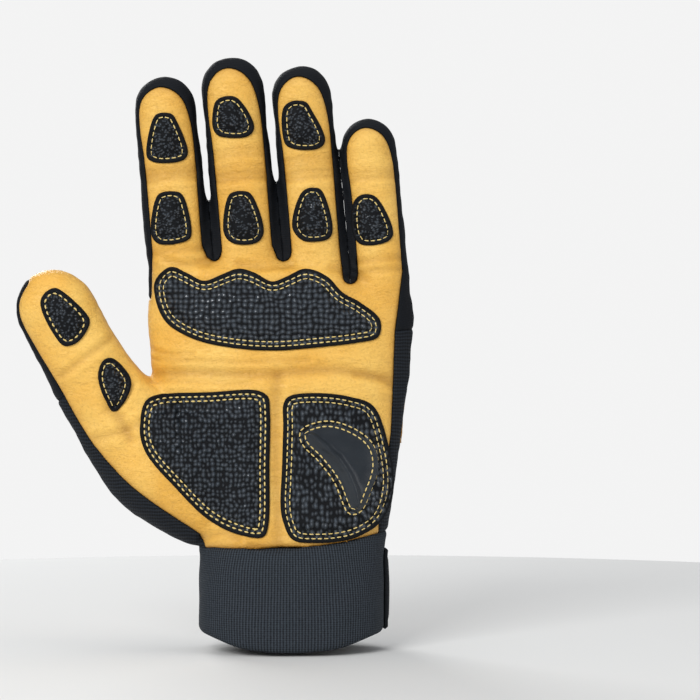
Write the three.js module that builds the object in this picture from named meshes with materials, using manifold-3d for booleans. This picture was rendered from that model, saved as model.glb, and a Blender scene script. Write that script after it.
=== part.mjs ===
// Padded mechanic's glove for the left hand, held up in the form it has when worn, in millimetres. The
// palm faces -Y, the fingers point up +Z, the thumb is towards -X, and the origin is the middle of the
// wrist opening. One hand form gives every piece its shape: the leather and cloth panels are cut from the
// shell between that form and a smaller one, and the pads, the closure strap and its plate are layers
// between larger ones.
import * as THREE from "three";
import { mergeVertices } from "three/addons/utils/BufferGeometryUtils.js";
import Module from "manifold-3d";

const wasm = await Module();
wasm.setup();

// Thicknesses and clearances
const WALL = 1.4; // one layer of leather or stretch cloth
const SEAM = 0.3; // what a seam leaves open between two pieces
const PAD_THICKNESS = 2.2;
const INSERT_THICKNESS = 1.4;
const STRAP_THICKNESS = 2.2;
const PLATE_THICKNESS = 1.4;

// Cuff and palm
const CUFF_WIDTH = 76.5;
const CUFF_DEPTH = 54;
const CUFF_HEIGHT = 42;
const HEM_RISE = 9; // how much higher the hem is at the sides than in the middle
const SEAM_RISE = 7; // how much higher the cuff's seam is at the little finger's side
const PALM_HEIGHT = 117; // cuff seam to the crotches of the fingers
const PALM_DEPTH = 37;
const PALM_LEAN = 5.2; // how far the knuckles lie towards the thumb from the cuff's middle
const FOLD_WIDTH = 8;
const FOLD_DEPTH = 2;

// Fingers: length runs from crotch to tip, and the middle finger is the longest and widest. wide and long
// are shares of its sizes. Both tab sizes say how far the knuckle leather reaches up the finger's back,
// and cap how far up the fingertip's leather starts, all as shares of the finger's own length.
const FINGER_WIDTH = 27.6;
const FINGER_LENGTH = 84.1;
const FINGER_DEPTH = 25;
const FINGER_GAP = 1.1;
const FINGER_LEAN = 5.4; // degrees towards the thumb
const FINGER_CURL = 6;
const LITTLE_DROP = 9.5; // how much lower the little finger's crotch is
const FINGERS = [
  { name: "index", wide: 0.993, long: 0.903, drop: 0, tabLeft: 0.04, tabRight: 0.12, cap: 0.67 },
  { name: "middle", wide: 1, long: 1, drop: 0, tabLeft: 0.12, tabRight: 0.13, cap: 0.58 },
  { name: "ring", wide: 0.957, long: 0.956, drop: 0, tabLeft: 0.12, tabRight: 0.05, cap: 0.6 },
  { name: "little", wide: 0.884, long: 0.815, drop: LITTLE_DROP, tabLeft: 0.14, tabRight: 0.03 },
];

// Thumb: reach and rise are to the middle of its last joint, from the middle of the cuff and from the hem.
const THUMB_REACH = 95.5;
const THUMB_RISE = 0.865 * (CUFF_HEIGHT + PALM_HEIGHT);
const THUMB_WIDTH = 33;
const THUMB_DEPTH = 28;
const THUMB_TIP = 18;
const THUMB_FORWARD = 11;

// Closure: how far it reaches from the cuff's edge at the little finger's side
const STRAP_REACH = 55;
const PLATE_REACH = 48;

const LEATHER = { color: 0xe2a23c, roughness: 0.62, metalness: 0 };
const STRETCH = { color: 0x1b1d21, roughness: 0.9, metalness: 0 };
const PADDING = { color: 0x26282c, roughness: 0.5, metalness: 0 };
const KNIT = { color: 0x202327, roughness: 0.95, metalness: 0 };
const RUBBER = { color: 0x33373b, roughness: 0.55, metalness: 0 };

const TOP = CUFF_HEIGHT + PALM_HEIGHT;
const FAR = 3 * TOP; // beyond the glove on every side
for (const f of FINGERS) {
  f.width = f.wide * FINGER_WIDTH;
  f.length = f.long * FINGER_LENGTH;
}
const KNUCKLES = FINGERS.reduce((sum, f) => sum + f.width, 0) + FINGER_GAP * (FINGERS.length - 1);

// The fingers stand side by side on the knuckle line.
let nextEdge = -PALM_LEAN - KNUCKLES / 2;
for (const f of FINGERS) {
  f.x = nextEdge + f.width / 2;
  f.z = TOP - f.drop;
  nextEdge += f.width + FINGER_GAP;
}
const [index, middle, ring, little] = FINGERS;

const { clamp, lerp, smoothstep, degToRad } = THREE.MathUtils;
const vec = (x, z) => new THREE.Vector2(x, z);

// Points on the glove, seen from the palm. On a finger, u is across in half widths and v runs from crotch
// to tip.
function fingerPoint(f, u, v) {
  const lean = degToRad(FINGER_LEAN);
  const across = (u * f.width) / 2;
  const along = v * f.length;
  return vec(
    f.x + across * Math.cos(lean) - along * Math.sin(lean),
    f.z + across * Math.sin(lean) + along * Math.cos(lean),
  );
}

// On the palm, u is across in half knuckle widths, and v is -1 at the hem, 0 at the cuff's seam and 1 at
// the crotches.
const palmZ = (v) => (v < 0 ? CUFF_HEIGHT * (1 + v) : CUFF_HEIGHT + PALM_HEIGHT * v);
const palmX = (v) => -PALM_LEAN * Math.max(0, v);
const palmPoint = (u, v) => vec(palmX(v) + (u * KNUCKLES) / 2, palmZ(v));

// On the thumb, u is across in half widths, and v runs along its line from inside the palm to its last
// joint, and then on from 1 over its tip. out and up are shares of its reach and rise.
const THUMB_ROWS = [
  { out: 0.3, up: 0.41, width: 1.15, front: 1.2, back: 1.2 },
  { out: 0.46, up: 0.495, width: 1.4, front: 1.38, back: 1.2 },
  { out: 0.605, up: 0.585, width: 1.44, front: 1.35, back: 1.15 },
  { out: 0.78, up: 0.73, width: 1.14, front: 1.02, back: 1.05 },
  { out: 0.9, up: 0.868, width: 1.01, front: 1.02, back: 1.02 },
  { out: 1, up: 1, width: 0.99, front: 1.0, back: 0.84 },
];
const thumbLine = new THREE.SplineCurve(THUMB_ROWS.map((r) => vec(-r.out * THUMB_REACH, r.up * THUMB_RISE)));
function thumbSide(v) {
  const along = thumbLine.getTangent(clamp(v, 0, 1));
  return vec(along.y, -along.x);
}
function thumbHalf(v) {
  const at = clamp(v, 0, 1) * (THUMB_ROWS.length - 1);
  const row = Math.min(Math.floor(at), THUMB_ROWS.length - 2);
  return (THUMB_WIDTH / 2) * lerp(THUMB_ROWS[row].width, THUMB_ROWS[row + 1].width, at - row);
}
function thumbPoint(u, v) {
  const side = thumbSide(v);
  const past = Math.max(0, v - 1) * THUMB_TIP;
  const at = thumbLine.getPoint(clamp(v, 0, 1)).addScaledVector(side, u * thumbHalf(v));
  return at.add(vec(-side.y * past, side.x * past));
}

// On the cuff's back, across runs from the little finger's side as shares of the strap's reach.
const cuffPoint = (across, up) => vec(CUFF_WIDTH / 2 - across * STRAP_REACH, up * CUFF_HEIGHT);

// The hand's middle surface: the fingers curl a little towards the palm, and the thumb lies forward.
function middleY(x, z) {
  const up = Math.max(0, (z - TOP) / middle.length);
  const thumbStart = KNUCKLES / 2 + PALM_LEAN;
  const out = clamp((-x - thumbStart) / (THUMB_REACH - thumbStart), 0, 1.3);
  return -FINGER_CURL * up * up - THUMB_FORWARD * out;
}

// Creases of the palm, each pressed in along a straight line from one point to another.
const FOLDS = [
  { from: { u: -0.08, v: 0.08 }, to: { u: -0.06, v: 0.52 }, depth: 1 },
  { from: { u: -0.75, v: 0.6 }, to: { u: 0.6, v: 0.62 }, depth: 0.6 },
  { from: { u: -0.8, v: 0.26 }, to: { u: -0.72, v: 0.46 }, depth: 0.7 },
];
function foldDepth(x, z) {
  const line = new THREE.Line3();
  const at = new THREE.Vector3(x, z, 0);
  const nearest = new THREE.Vector3();
  return FOLDS.reduce((sum, fold) => {
    const from = palmPoint(fold.from.u, fold.from.v);
    const to = palmPoint(fold.to.u, fold.to.v);
    line.set(new THREE.Vector3(from.x, from.y, 0), new THREE.Vector3(to.x, to.y, 0));
    line.closestPointToPoint(at, true, nearest);
    const near = smoothstep(FOLD_WIDTH - at.distanceTo(nearest), 0, FOLD_WIDTH);
    return sum + FOLD_DEPTH * fold.depth * near;
  }, 0);
}

function solid(geometry) {
  geometry.deleteAttribute("normal");
  geometry.deleteAttribute("uv");
  const merged = mergeVertices(geometry, 1e-4);
  return new wasm.Manifold(
    new wasm.Mesh({
      numProp: 3,
      vertProperties: new Float32Array(merged.attributes.position.array),
      triVerts: new Uint32Array(merged.index.array),
    }),
  );
}

// A closed form through rings. Each row gives its middle, its direction across, and its half sizes to the
// left, to the right, to the front and to the back. change moves a finished point.
const SQUARENESS = 2.4; // 2 is an ellipse, and more is squarer
const FINGER_SIDES = 12;
const PALM_SIDES = 24;
function loft(rows, segments, change) {
  const profile = [vec(0, 0), ...rows.map((row, i) => vec(1, i)), vec(0, rows.length - 1)];
  const geometry = new THREE.LatheGeometry(profile, segments);
  const position = geometry.getAttribute("position");
  const squared = (c) => Math.sign(c) * Math.abs(c) ** (2 / SQUARENESS);
  for (let i = 0; i < position.count; i++) {
    const row = rows[Math.round(position.getY(i))];
    const isPole = Math.hypot(position.getX(i), position.getZ(i)) < 0.5;
    const across = isPole ? 0 : squared(position.getX(i));
    const deep = isPole ? 0 : -squared(position.getZ(i));
    const wide = across * (across < 0 ? row.left : row.right);
    const point = new THREE.Vector3(
      row.x + row.side.x * wide,
      row.y + deep * (deep < 0 ? row.front : row.back),
      row.z + row.side.y * wide,
    );
    if (change) change(point, deep);
    position.setXYZ(i, point.x, point.y, point.z);
  }
  return solid(geometry);
}

// A finger or a thumb: its rows and a dome over the last one, all grown by the same amount.
const DOME_ANGLES = [30, 58, 80];
function tube(rows, tipHeight, grow, segments) {
  const girth = (row, share) => ({
    ...row,
    left: (row.half + grow) * share,
    right: (row.half + grow) * share,
    front: (row.front + grow) * share,
    back: (row.back + grow) * share,
  });
  const last = rows[rows.length - 1];
  const dome = DOME_ANGLES.map((angle) => {
    const up = (tipHeight + grow) * Math.sin(degToRad(angle));
    const x = last.x - last.side.y * up;
    const z = last.z + last.side.x * up;
    return girth({ ...last, x, z, y: middleY(x, z) }, Math.cos(degToRad(angle)));
  });
  return loft([...rows.map((r) => girth(r, 1)), ...dome], segments);
}

const FINGER_ROWS = [
  { v: -0.25, width: 0.88, front: 0.9, back: 0.95 },
  { v: 0.02, width: 1.0, front: 1.0, back: 1.04 },
  { v: 0.22, width: 1.0, front: 1.05, back: 1.0 },
  { v: 0.45, width: 0.98, front: 0.94, back: 1.04 },
];
const LAST_JOINT = { width: 0.96, front: 0.96, back: 0.84 };
const fingerTip = (f) => f.width / 2;
function fingerForm(f, grow) {
  const lean = degToRad(FINGER_LEAN);
  const rows = [...FINGER_ROWS, { ...LAST_JOINT, v: 1 - fingerTip(f) / f.length }].map((r) => {
    const at = fingerPoint(f, 0, r.v);
    return {
      x: at.x,
      z: at.y,
      y: middleY(at.x, at.y),
      side: vec(Math.cos(lean), Math.sin(lean)),
      half: (f.width / 2) * r.width,
      front: (FINGER_DEPTH / 2) * r.front,
      back: (FINGER_DEPTH / 2) * r.back,
    };
  });
  return tube(rows, fingerTip(f), grow, FINGER_SIDES);
}

function thumbForm(grow) {
  const rows = THUMB_ROWS.map((r, i) => {
    const v = i / (THUMB_ROWS.length - 1);
    const at = thumbLine.getPoint(v);
    return {
      x: at.x,
      z: at.y,
      y: middleY(at.x, at.y),
      side: thumbSide(v),
      half: thumbHalf(v),
      front: (THUMB_DEPTH / 2) * r.front,
      back: (THUMB_DEPTH / 2) * r.back,
    };
  });
  return tube(rows, THUMB_TIP, grow, FINGER_SIDES);
}

// Palm and cuff: left, right and depth say how far each has gone from the cuff's size to the knuckles'
// size.
const PALM_ROWS = [
  { v: -1.3, left: 0, right: 0, depth: -0.05 },
  { v: -0.4, left: 0, right: 0, depth: 0 },
  { v: -0.03, left: 0, right: 0.02, depth: 0.3 },
  { v: 0.12, left: 0.15, right: 0.2, depth: 0.65 },
  { v: 0.28, left: 0.42, right: 0.44, depth: 0.82 },
  { v: 0.46, left: 0.84, right: 0.66, depth: 0.88 },
  { v: 0.62, left: 1.0, right: 0.84, depth: 0.95 },
  { v: 0.8, left: 1.02, right: 1.0, depth: 1.05 },
  { v: 0.95, left: 0.98, right: 1.02, depth: 1.4 },
];
// The last row rounds the form off between the fingers, in shares of the row before.
const WEB = { across: 0.92, deep: 0.5 };
const DROP_FROM = 0.5; // where the palm begins to drop towards the little finger
function palmForm(grow) {
  const half = (from, to, share) => lerp(from, to, share) / 2 + grow;
  const rows = PALM_ROWS.map((r) => ({
    x: palmX(r.v),
    z: palmZ(r.v) + (r.v < -1 ? grow : 0),
    y: 0,
    side: vec(1, 0),
    left: half(CUFF_WIDTH, KNUCKLES, r.left),
    right: half(CUFF_WIDTH, KNUCKLES, r.right),
    front: half(CUFF_DEPTH, PALM_DEPTH, r.depth),
    back: half(CUFF_DEPTH, PALM_DEPTH, r.depth),
  }));
  const last = rows[rows.length - 1];
  rows.push({
    ...last,
    z: TOP + grow,
    left: WEB.across * last.left,
    right: WEB.across * last.right,
    front: WEB.deep * last.front,
    back: WEB.deep * last.back,
  });
  const dropFrom = palmZ(DROP_FROM);
  return loft(rows, PALM_SIDES, (p, deep) => {
    const low = LITTLE_DROP * smoothstep(p.x, ring.x, little.x);
    p.z -= low * smoothstep(p.z, dropFrom, TOP);
    if (deep < 0) p.y -= deep * foldDepth(p.x, p.z);
  });
}

function handForm(grow) {
  return FINGERS.reduce((made, f) => made.add(fingerForm(f, grow)), palmForm(grow).add(thumbForm(grow)));
}
const layer = (from, to) => handForm(to).subtract(handForm(from));

// Everything in front of the hand's middle surface, or behind it, from a distance towards that side.
function halfSpace(side, distance) {
  const geometry = new THREE.BoxGeometry(FAR, FAR, FAR, 16, 1, 16);
  geometry.translate(0, side * (FAR / 2), FAR / 4);
  const position = geometry.getAttribute("position");
  for (let i = 0; i < position.count; i++) {
    const isMiddle = Math.abs(position.getY(i)) < 1;
    if (isMiddle) position.setY(i, middleY(position.getX(i), position.getZ(i)) + side * distance);
  }
  return solid(geometry);
}
const SIDES = {
  front: { keep: halfSpace(-1, SEAM / 2), drop: halfSpace(-1, -SEAM / 2) },
  back: { keep: halfSpace(1, SEAM / 2), drop: halfSpace(1, -SEAM / 2) },
};

// A straight cutter along Y with a given outline.
function prism(outline) {
  const geometry = new THREE.ExtrudeGeometry(new THREE.Shape(outline), { depth: 2 * FAR, bevelEnabled: false });
  geometry.rotateX(Math.PI / 2).translate(0, FAR, 0);
  return solid(geometry);
}

// An outline with each point moved outwards by a distance.
function moved(outline, distance) {
  const turn = THREE.ShapeUtils.isClockWise(outline) ? -1 : 1;
  const n = outline.length;
  return outline.map((p, i) => {
    const before = p.clone().sub(outline[(i + n - 1) % n]).normalize();
    const after = outline[(i + 1) % n].clone().sub(p).normalize();
    const along = before.add(after).normalize();
    return vec(p.x + turn * distance * along.y, p.y - turn * distance * along.x);
  });
}

function smoothLoop(points, count) {
  const spatial = points.map((p) => new THREE.Vector3(p.x, p.y, 0));
  const loop = new THREE.CatmullRomCurve3(spatial, true, "centripetal");
  return loop.getPoints(count).slice(0, -1).map((p) => vec(p.x, p.y));
}
const smoothLine = (points, count) => new THREE.SplineCurve(points).getPoints(count);

const group = new THREE.Group();
function add(name, made, finish) {
  const mesh = made.getMesh();
  const xyz = new Float32Array(mesh.numVert * 3);
  for (let i = 0; i < mesh.numVert; i++) {
    xyz.set(mesh.vertProperties.subarray(i * mesh.numProp, i * mesh.numProp + 3), i * 3);
  }
  const geometry = new THREE.BufferGeometry();
  geometry.setAttribute("position", new THREE.BufferAttribute(xyz, 3));
  geometry.setIndex(new THREE.BufferAttribute(mesh.triVerts, 1));
  geometry.computeVertexNormals();
  const piece = new THREE.Mesh(geometry, new THREE.MeshStandardMaterial(finish));
  piece.name = name;
  group.add(piece);
}

// Panels are cut one after the other from what is left of the shell, each with a seam round it.
let shell = layer(-WALL, 0);
function addPanel(name, outline, side, finish) {
  let keep = prism(moved(outline, -SEAM / 2));
  let drop = prism(moved(outline, SEAM / 2));
  if (side) {
    keep = keep.intersect(SIDES[side].keep);
    drop = drop.intersect(SIDES[side].drop);
  }
  add(name, shell.intersect(keep), finish);
  shell = shell.subtract(drop);
}

// The cuff lies between the hem and the seam. across is in half cuff widths, and hem and seam are shares
// of their rise.
const CUFF_EDGES = [
  { across: -1.6, hem: 1.0, seam: -0.4 },
  { across: -1.0, hem: 0.75, seam: -0.1 },
  { across: -0.5, hem: 0.15, seam: 0 },
  { across: 0.0, hem: 0, seam: 0.05 },
  { across: 0.5, hem: 0.15, seam: 0.3 },
  { across: 1.0, hem: 0.75, seam: 0.8 },
  { across: 1.6, hem: 1.0, seam: 1.2 },
];
function below(height, rise, key) {
  const line = smoothLine(CUFF_EDGES.map((r) => vec((r.across * CUFF_WIDTH) / 2, height + rise * r[key])), 12);
  const reach = line[line.length - 1].x;
  return prism([vec(-reach, -FAR), vec(reach, -FAR), ...line.reverse()]);
}
shell = shell.subtract(below(0, HEM_RISE, "hem"));
add("cuff", shell.intersect(below(CUFF_HEIGHT - SEAM, SEAM_RISE, "seam")), KNIT);
shell = shell.subtract(below(CUFF_HEIGHT, SEAM_RISE, "seam"));

// The leather edges on a finger, in front and on its back: left and right are across, at v along the
// finger.
const FINGER_EDGES = [
  { v: 0.06, left: -0.8, right: 0.78 },
  { v: 0.3, left: -0.78, right: 0.8 },
  { v: 0.55, left: -0.78, right: 0.82 },
  { v: 0.72, left: -0.82, right: 0.8 },
  { v: 0.84, left: -0.76, right: 0.66 },
  { v: 0.91, left: -0.5, right: 0.36 },
];
const EDGE_TOP = { u: -0.08, v: 0.94 };
function edgeAt(v, key) {
  const next = FINGER_EDGES.findIndex((r) => r.v >= v);
  if (next <= 0) return FINGER_EDGES[0][key];
  const [a, b] = [FINGER_EDGES[next - 1], FINGER_EDGES[next]];
  return lerp(a[key], b[key], (v - a.v) / (b.v - a.v));
}
// One edge of a finger's panel from a height upwards, and the same edge coming down on the other side.
const edgeRows = (low, high) => FINGER_EDGES.filter((r) => r.v > low && r.v < high);
const upEdge = (f, low, high) => edgeRows(low, high).map((r) => fingerPoint(f, r.left, r.v));
const downEdge = (f, low, high) => edgeRows(low, high).reverse().map((r) => fingerPoint(f, r.right, r.v));
const overTip = (f, low) =>
  smoothLine([...upEdge(f, low, 1), fingerPoint(f, EDGE_TOP.u, EDGE_TOP.v), ...downEdge(f, low, 1)], 12);

// The slot between two fingers ends in a round this far below the lower crotch.
const SLOT_RADIUS = 1.3;
function slotEnd(f, g, low) {
  const x = (f.x + f.width / 2 + g.x - g.width / 2) / 2;
  const z = Math.min(f.z, g.z) - low;
  return [vec(x - SLOT_RADIUS, z + SLOT_RADIUS), vec(x, z), vec(x + SLOT_RADIUS, z + SLOT_RADIUS)];
}
const BACK_SLOT = 8.5; // the knuckle leather's slots are deeper than the palm's

// The palm leather ends short of the thumb's outer edge, where the thumb's strip and the stretch back
// begin.
const THUMB_FRONT_EDGE = [
  { u: -0.66, v: 0.02 },
  { u: -0.62, v: 0.28 },
  { u: -0.66, v: 0.42 },
  { u: -0.76, v: 0.56 },
  { u: -0.78, v: 0.74 },
  { u: -0.86, v: 0.9 },
  { u: -0.86, v: 1.2 },
  { u: -0.68, v: 1.6 },
  { u: -0.3, v: 1.86 },
];
// Below this share of the palm's height, the leather of palm and back meet at the index finger's side.
const SIDE_SEAM = 0.84;
const palmOutline = [
  palmPoint(-0.6, -0.2),
  ...smoothLine(THUMB_FRONT_EDGE.map((r) => thumbPoint(r.u, r.v)), 12),
  thumbPoint(0.1, 2.4),
  thumbPoint(1.5, 1.6),
  palmPoint(-1.25, SIDE_SEAM),
  palmPoint(-0.98, SIDE_SEAM + 0.03),
  ...FINGERS.flatMap((f, i) => [
    ...overTip(f, 0),
    ...(i < FINGERS.length - 1 ? slotEnd(f, FINGERS[i + 1], 0) : []),
  ]),
  palmPoint(0.86, 0.75),
  palmPoint(0.8, 0.4),
  palmPoint(0.68, 0.1),
  palmPoint(0.66, -0.2),
];
addPanel("palm_leather", palmOutline, "front", LEATHER);

// The thumb's leather back is a leaf that ends in a point towards the wrist.
const THUMB_LEAF = [
  { u: 0.05, v: 0.5 },
  { u: -0.3, v: 0.58 },
  { u: -0.7, v: 0.68 },
  { u: -0.84, v: 0.85 },
  { u: -0.86, v: 1.2 },
  { u: -0.68, v: 1.6 },
  { u: -0.3, v: 1.86 },
];
const LEAF_POINT = { u: -1.02, v: 0.42 };
const CROTCH = { u: -1.02, v: 0.6 };
const leafOutline = [
  palmPoint(LEAF_POINT.u, LEAF_POINT.v),
  ...smoothLine(THUMB_LEAF.map((r) => thumbPoint(r.u, r.v)), 10),
  thumbPoint(0.1, 2.4),
  thumbPoint(1.5, 1.6),
  thumbPoint(1.25, 0.8),
  palmPoint(CROTCH.u, CROTCH.v),
];
addPanel("thumb_back", leafOutline, "back", LEATHER);

// A line across a finger's back, higher in the middle by its rise.
function archLine(f, left, right, rise) {
  const middleV = (left + right) / 2 + rise;
  return smoothLine(
    [
      fingerPoint(f, edgeAt(left, "left"), left),
      fingerPoint(f, 0, middleV),
      fingerPoint(f, edgeAt(right, "right"), right),
    ],
    4,
  );
}
const TAB_ARCH = 0.02;
const CAP_ARCH = 0.09;
const tabLine = (f) => archLine(f, f.tabLeft, f.tabRight, TAB_ARCH);
const capLine = (f) => archLine(f, f.cap, f.cap, CAP_ARCH);

// The knuckle leather has a tab up each finger and arches over the back of the hand.
const YOKE_ARCH = [
  { u: 1.3, v: 0.22 },
  { u: 0.97, v: 0.28 },
  { u: 0.76, v: 0.44 },
  { u: 0.55, v: 0.54 },
  { u: 0.36, v: 0.61 },
  { u: 0.1, v: 0.635 },
  { u: -0.12, v: 0.63 },
  { u: -0.36, v: 0.59 },
  { u: -0.6, v: 0.455 },
  { u: -0.86, v: 0.33 },
  { u: -1.06, v: 0.26 },
];
const yokeOutline = [
  palmPoint(LEAF_POINT.u - 0.06, LEAF_POINT.v - 0.1),
  palmPoint(LEAF_POINT.u, LEAF_POINT.v),
  palmPoint(CROTCH.u, CROTCH.v),
  palmPoint(-1.25, CROTCH.v + 0.05),
  palmPoint(-1.25, SIDE_SEAM),
  palmPoint(-0.98, SIDE_SEAM + 0.03),
  ...FINGERS.flatMap((f, i) => [
    ...tabLine(f),
    ...(i < FINGERS.length - 1 ? slotEnd(f, FINGERS[i + 1], BACK_SLOT) : []),
  ]),
  palmPoint(0.98, 0.76),
  palmPoint(1.3, 0.74),
  ...smoothLine(YOKE_ARCH.map((r) => palmPoint(r.u, r.v)), 16),
];
addPanel("knuckle_yoke", yokeOutline, "back", LEATHER);

for (const f of FINGERS) {
  const lowEdge = Math.max(f.tabLeft, f.tabRight);
  if (f.cap) {
    addPanel(`${f.name}_cap`, [...overTip(f, f.cap), ...capLine(f).reverse()], "back", LEATHER);
    const outline = [
      ...upEdge(f, lowEdge, f.cap),
      ...capLine(f),
      ...downEdge(f, lowEdge, f.cap),
      ...tabLine(f).reverse(),
    ];
    addPanel(`${f.name}_back`, outline, "back", STRETCH);
  } else {
    addPanel(`${f.name}_back`, [...overTip(f, lowEdge), ...tabLine(f).reverse()], "back", STRETCH);
  }
}

// What is left beside each finger is its side strip, which runs over the tip. Neighbours part midway
// between them.
function between(f, g, v) {
  if (!f) return fingerPoint(g, -1.6, v);
  if (!g) return fingerPoint(f, 1.6, v);
  return fingerPoint(f, 1, v).lerp(fingerPoint(g, -1, v), 0.5);
}
FINGERS.forEach((f, i) => {
  const [before, after] = [FINGERS[i - 1], FINGERS[i + 1]];
  const slotLow = (f.z - 1.5 * BACK_SLOT - LITTLE_DROP - palmZ(0)) / PALM_HEIGHT;
  const outline = [
    before ? vec(between(before, f, 0).x, palmZ(slotLow)) : palmPoint(-1.3, SIDE_SEAM - 0.01),
    between(before, f, 0),
    between(before, f, 1.4),
    between(f, after, 1.4),
    between(f, after, 0),
    after ? vec(between(f, after, 0).x, palmZ(slotLow)) : palmPoint(1.3, 0.78),
  ];
  addPanel(`${f.name}_side`, outline, undefined, STRETCH);
});
const thumbStripOutline = [
  thumbPoint(-0.1, 0.7),
  thumbPoint(-1.7, 0.7),
  thumbPoint(-1.7, 1.6),
  thumbPoint(-1, 2.8),
  thumbPoint(0.9, 2.8),
  thumbPoint(0.4, 1.4),
];
addPanel("thumb_side", thumbStripOutline, undefined, STRETCH);
add("hand_back", shell, STRETCH);

// Pads are stitched on in front. Points are u and v on the palm, on a finger or on the thumb.
const padLayer = layer(SEAM, SEAM + PAD_THICKNESS).intersect(SIDES.front.keep);
const PALM_PADS = [
  {
    name: "knuckle_pad",
    points: [
      [-0.81, 0.975], [-0.92, 0.93], [-0.93, 0.87], [-0.86, 0.785], [-0.66, 0.725], [-0.37, 0.693],
      [-0.05, 0.683], [0.28, 0.695], [0.56, 0.71], [0.72, 0.73], [0.74, 0.79], [0.6, 0.85], [0.47, 0.885],
      [0.36, 0.94], [0.2, 0.965], [0.06, 0.94], [-0.047, 0.923], [-0.17, 0.95], [-0.3, 0.965],
      [-0.43, 0.945], [-0.56, 0.926], [-0.69, 0.955],
    ],
  },
  {
    name: "thenar_pad",
    points: [
      [-1.03, 0.51], [-0.92, 0.53], [-0.56, 0.539], [-0.19, 0.545], [-0.12, 0.525], [-0.11, 0.47],
      [-0.13, 0.29], [-0.16, 0.07], [-0.19, 0.04], [-0.25, 0.035], [-0.41, 0.052], [-0.6, 0.096],
      [-0.85, 0.216], [-1.05, 0.335], [-1.08, 0.42],
    ],
  },
  {
    name: "hypothenar_pad",
    points: [
      [0.04, 0.525], [0.25, 0.536], [0.5, 0.522], [0.66, 0.49], [0.76, 0.35], [0.78, 0.22], [0.74, 0.14],
      [0.66, 0.08], [0.47, 0.032], [0.2, 0.018], [0.02, 0.03], [-0.04, 0.09], [-0.055, 0.14],
      [-0.035, 0.26], [-0.01, 0.42], [0.0, 0.5],
    ],
  },
];
const FINGER_PADS = [
  {
    name: "index_tip_pad",
    finger: index,
    points: [
      [-0.15, 0.79], [-0.42, 0.765], [-0.6, 0.61], [-0.26, 0.524], [0.09, 0.54], [0.56, 0.585], [0.46, 0.7],
      [0.2, 0.77],
    ],
  },
  {
    name: "index_base_pad",
    finger: index,
    points: [
      [-0.43, 0.365], [-0.65, 0.175], [-0.5, 0.09], [0.09, 0.082], [0.46, 0.155], [0.37, 0.355], [-0.02, 0.375],
    ],
  },
  {
    name: "middle_tip_pad",
    finger: middle,
    points: [
      [-0.2, 0.79], [-0.6, 0.745], [-0.64, 0.65], [-0.48, 0.595], [0.2, 0.585], [0.52, 0.65], [0.38, 0.74],
      [0.15, 0.785],
    ],
  },
  {
    name: "middle_base_pad",
    finger: middle,
    points: [
      [-0.28, 0.345], [-0.61, 0.15], [-0.46, 0.088], [0.28, 0.078], [0.52, 0.13], [0.3, 0.335], [0, 0.35],
    ],
  },
  {
    name: "ring_tip_pad",
    finger: ring,
    points: [
      [-0.15, 0.81], [-0.6, 0.78], [-0.66, 0.67], [-0.4, 0.565], [0.17, 0.552], [0.58, 0.6], [0.45, 0.69],
      [0.22, 0.78],
    ],
  },
  {
    name: "ring_base_pad",
    finger: ring,
    points: [
      [-0.22, 0.372], [-0.64, 0.18], [-0.52, 0.095], [0.34, 0.085], [0.55, 0.16], [0.28, 0.365], [0, 0.378],
    ],
  },
  {
    name: "little_base_pad",
    finger: little,
    points: [
      [-0.3, 0.535], [-0.66, 0.42], [-0.72, 0.25], [-0.3, 0.21], [0.36, 0.215], [0.46, 0.3], [0.28, 0.5],
      [0, 0.55],
    ],
  },
];
const THUMB_PADS = [
  {
    name: "thumb_tip_pad",
    points: [
      [0.34, 1.43], [-0.12, 1.34], [-0.3, 0.98], [-0.16, 0.85], [0.25, 0.84], [0.62, 0.88], [0.6, 1.15],
    ],
  },
  {
    name: "thumb_base_pad",
    points: [[0.6, 0.745], [0.26, 0.725], [0.1, 0.65], [-0.02, 0.55], [0.44, 0.565], [0.7, 0.62]],
  },
];
function addPad(pad, place) {
  const outline = smoothLoop(pad.points.map(([u, v]) => place(u, v)), 2 * pad.points.length);
  add(pad.name, padLayer.intersect(prism(outline)), PADDING);
}
for (const pad of PALM_PADS) addPad(pad, palmPoint);
for (const pad of FINGER_PADS) addPad(pad, (u, v) => fingerPoint(pad.finger, u, v));
for (const pad of THUMB_PADS) addPad(pad, thumbPoint);

// The insert lies on the hypothenar pad.
const INSERT = [
  [0.13, 0.4], [0.3, 0.43], [0.48, 0.41], [0.63, 0.355], [0.66, 0.28], [0.58, 0.19], [0.49, 0.125],
  [0.42, 0.16], [0.38, 0.22], [0.25, 0.31], [0.14, 0.365],
];
const insertFrom = SEAM + PAD_THICKNESS + SEAM;
const insertOutline = smoothLoop(INSERT.map(([u, v]) => palmPoint(u, v)), 2 * INSERT.length);
const insertLayer = layer(insertFrom, insertFrom + INSERT_THICKNESS).intersect(SIDES.front.keep);
add("heel_insert", insertLayer.intersect(prism(insertOutline)), RUBBER);

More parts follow.
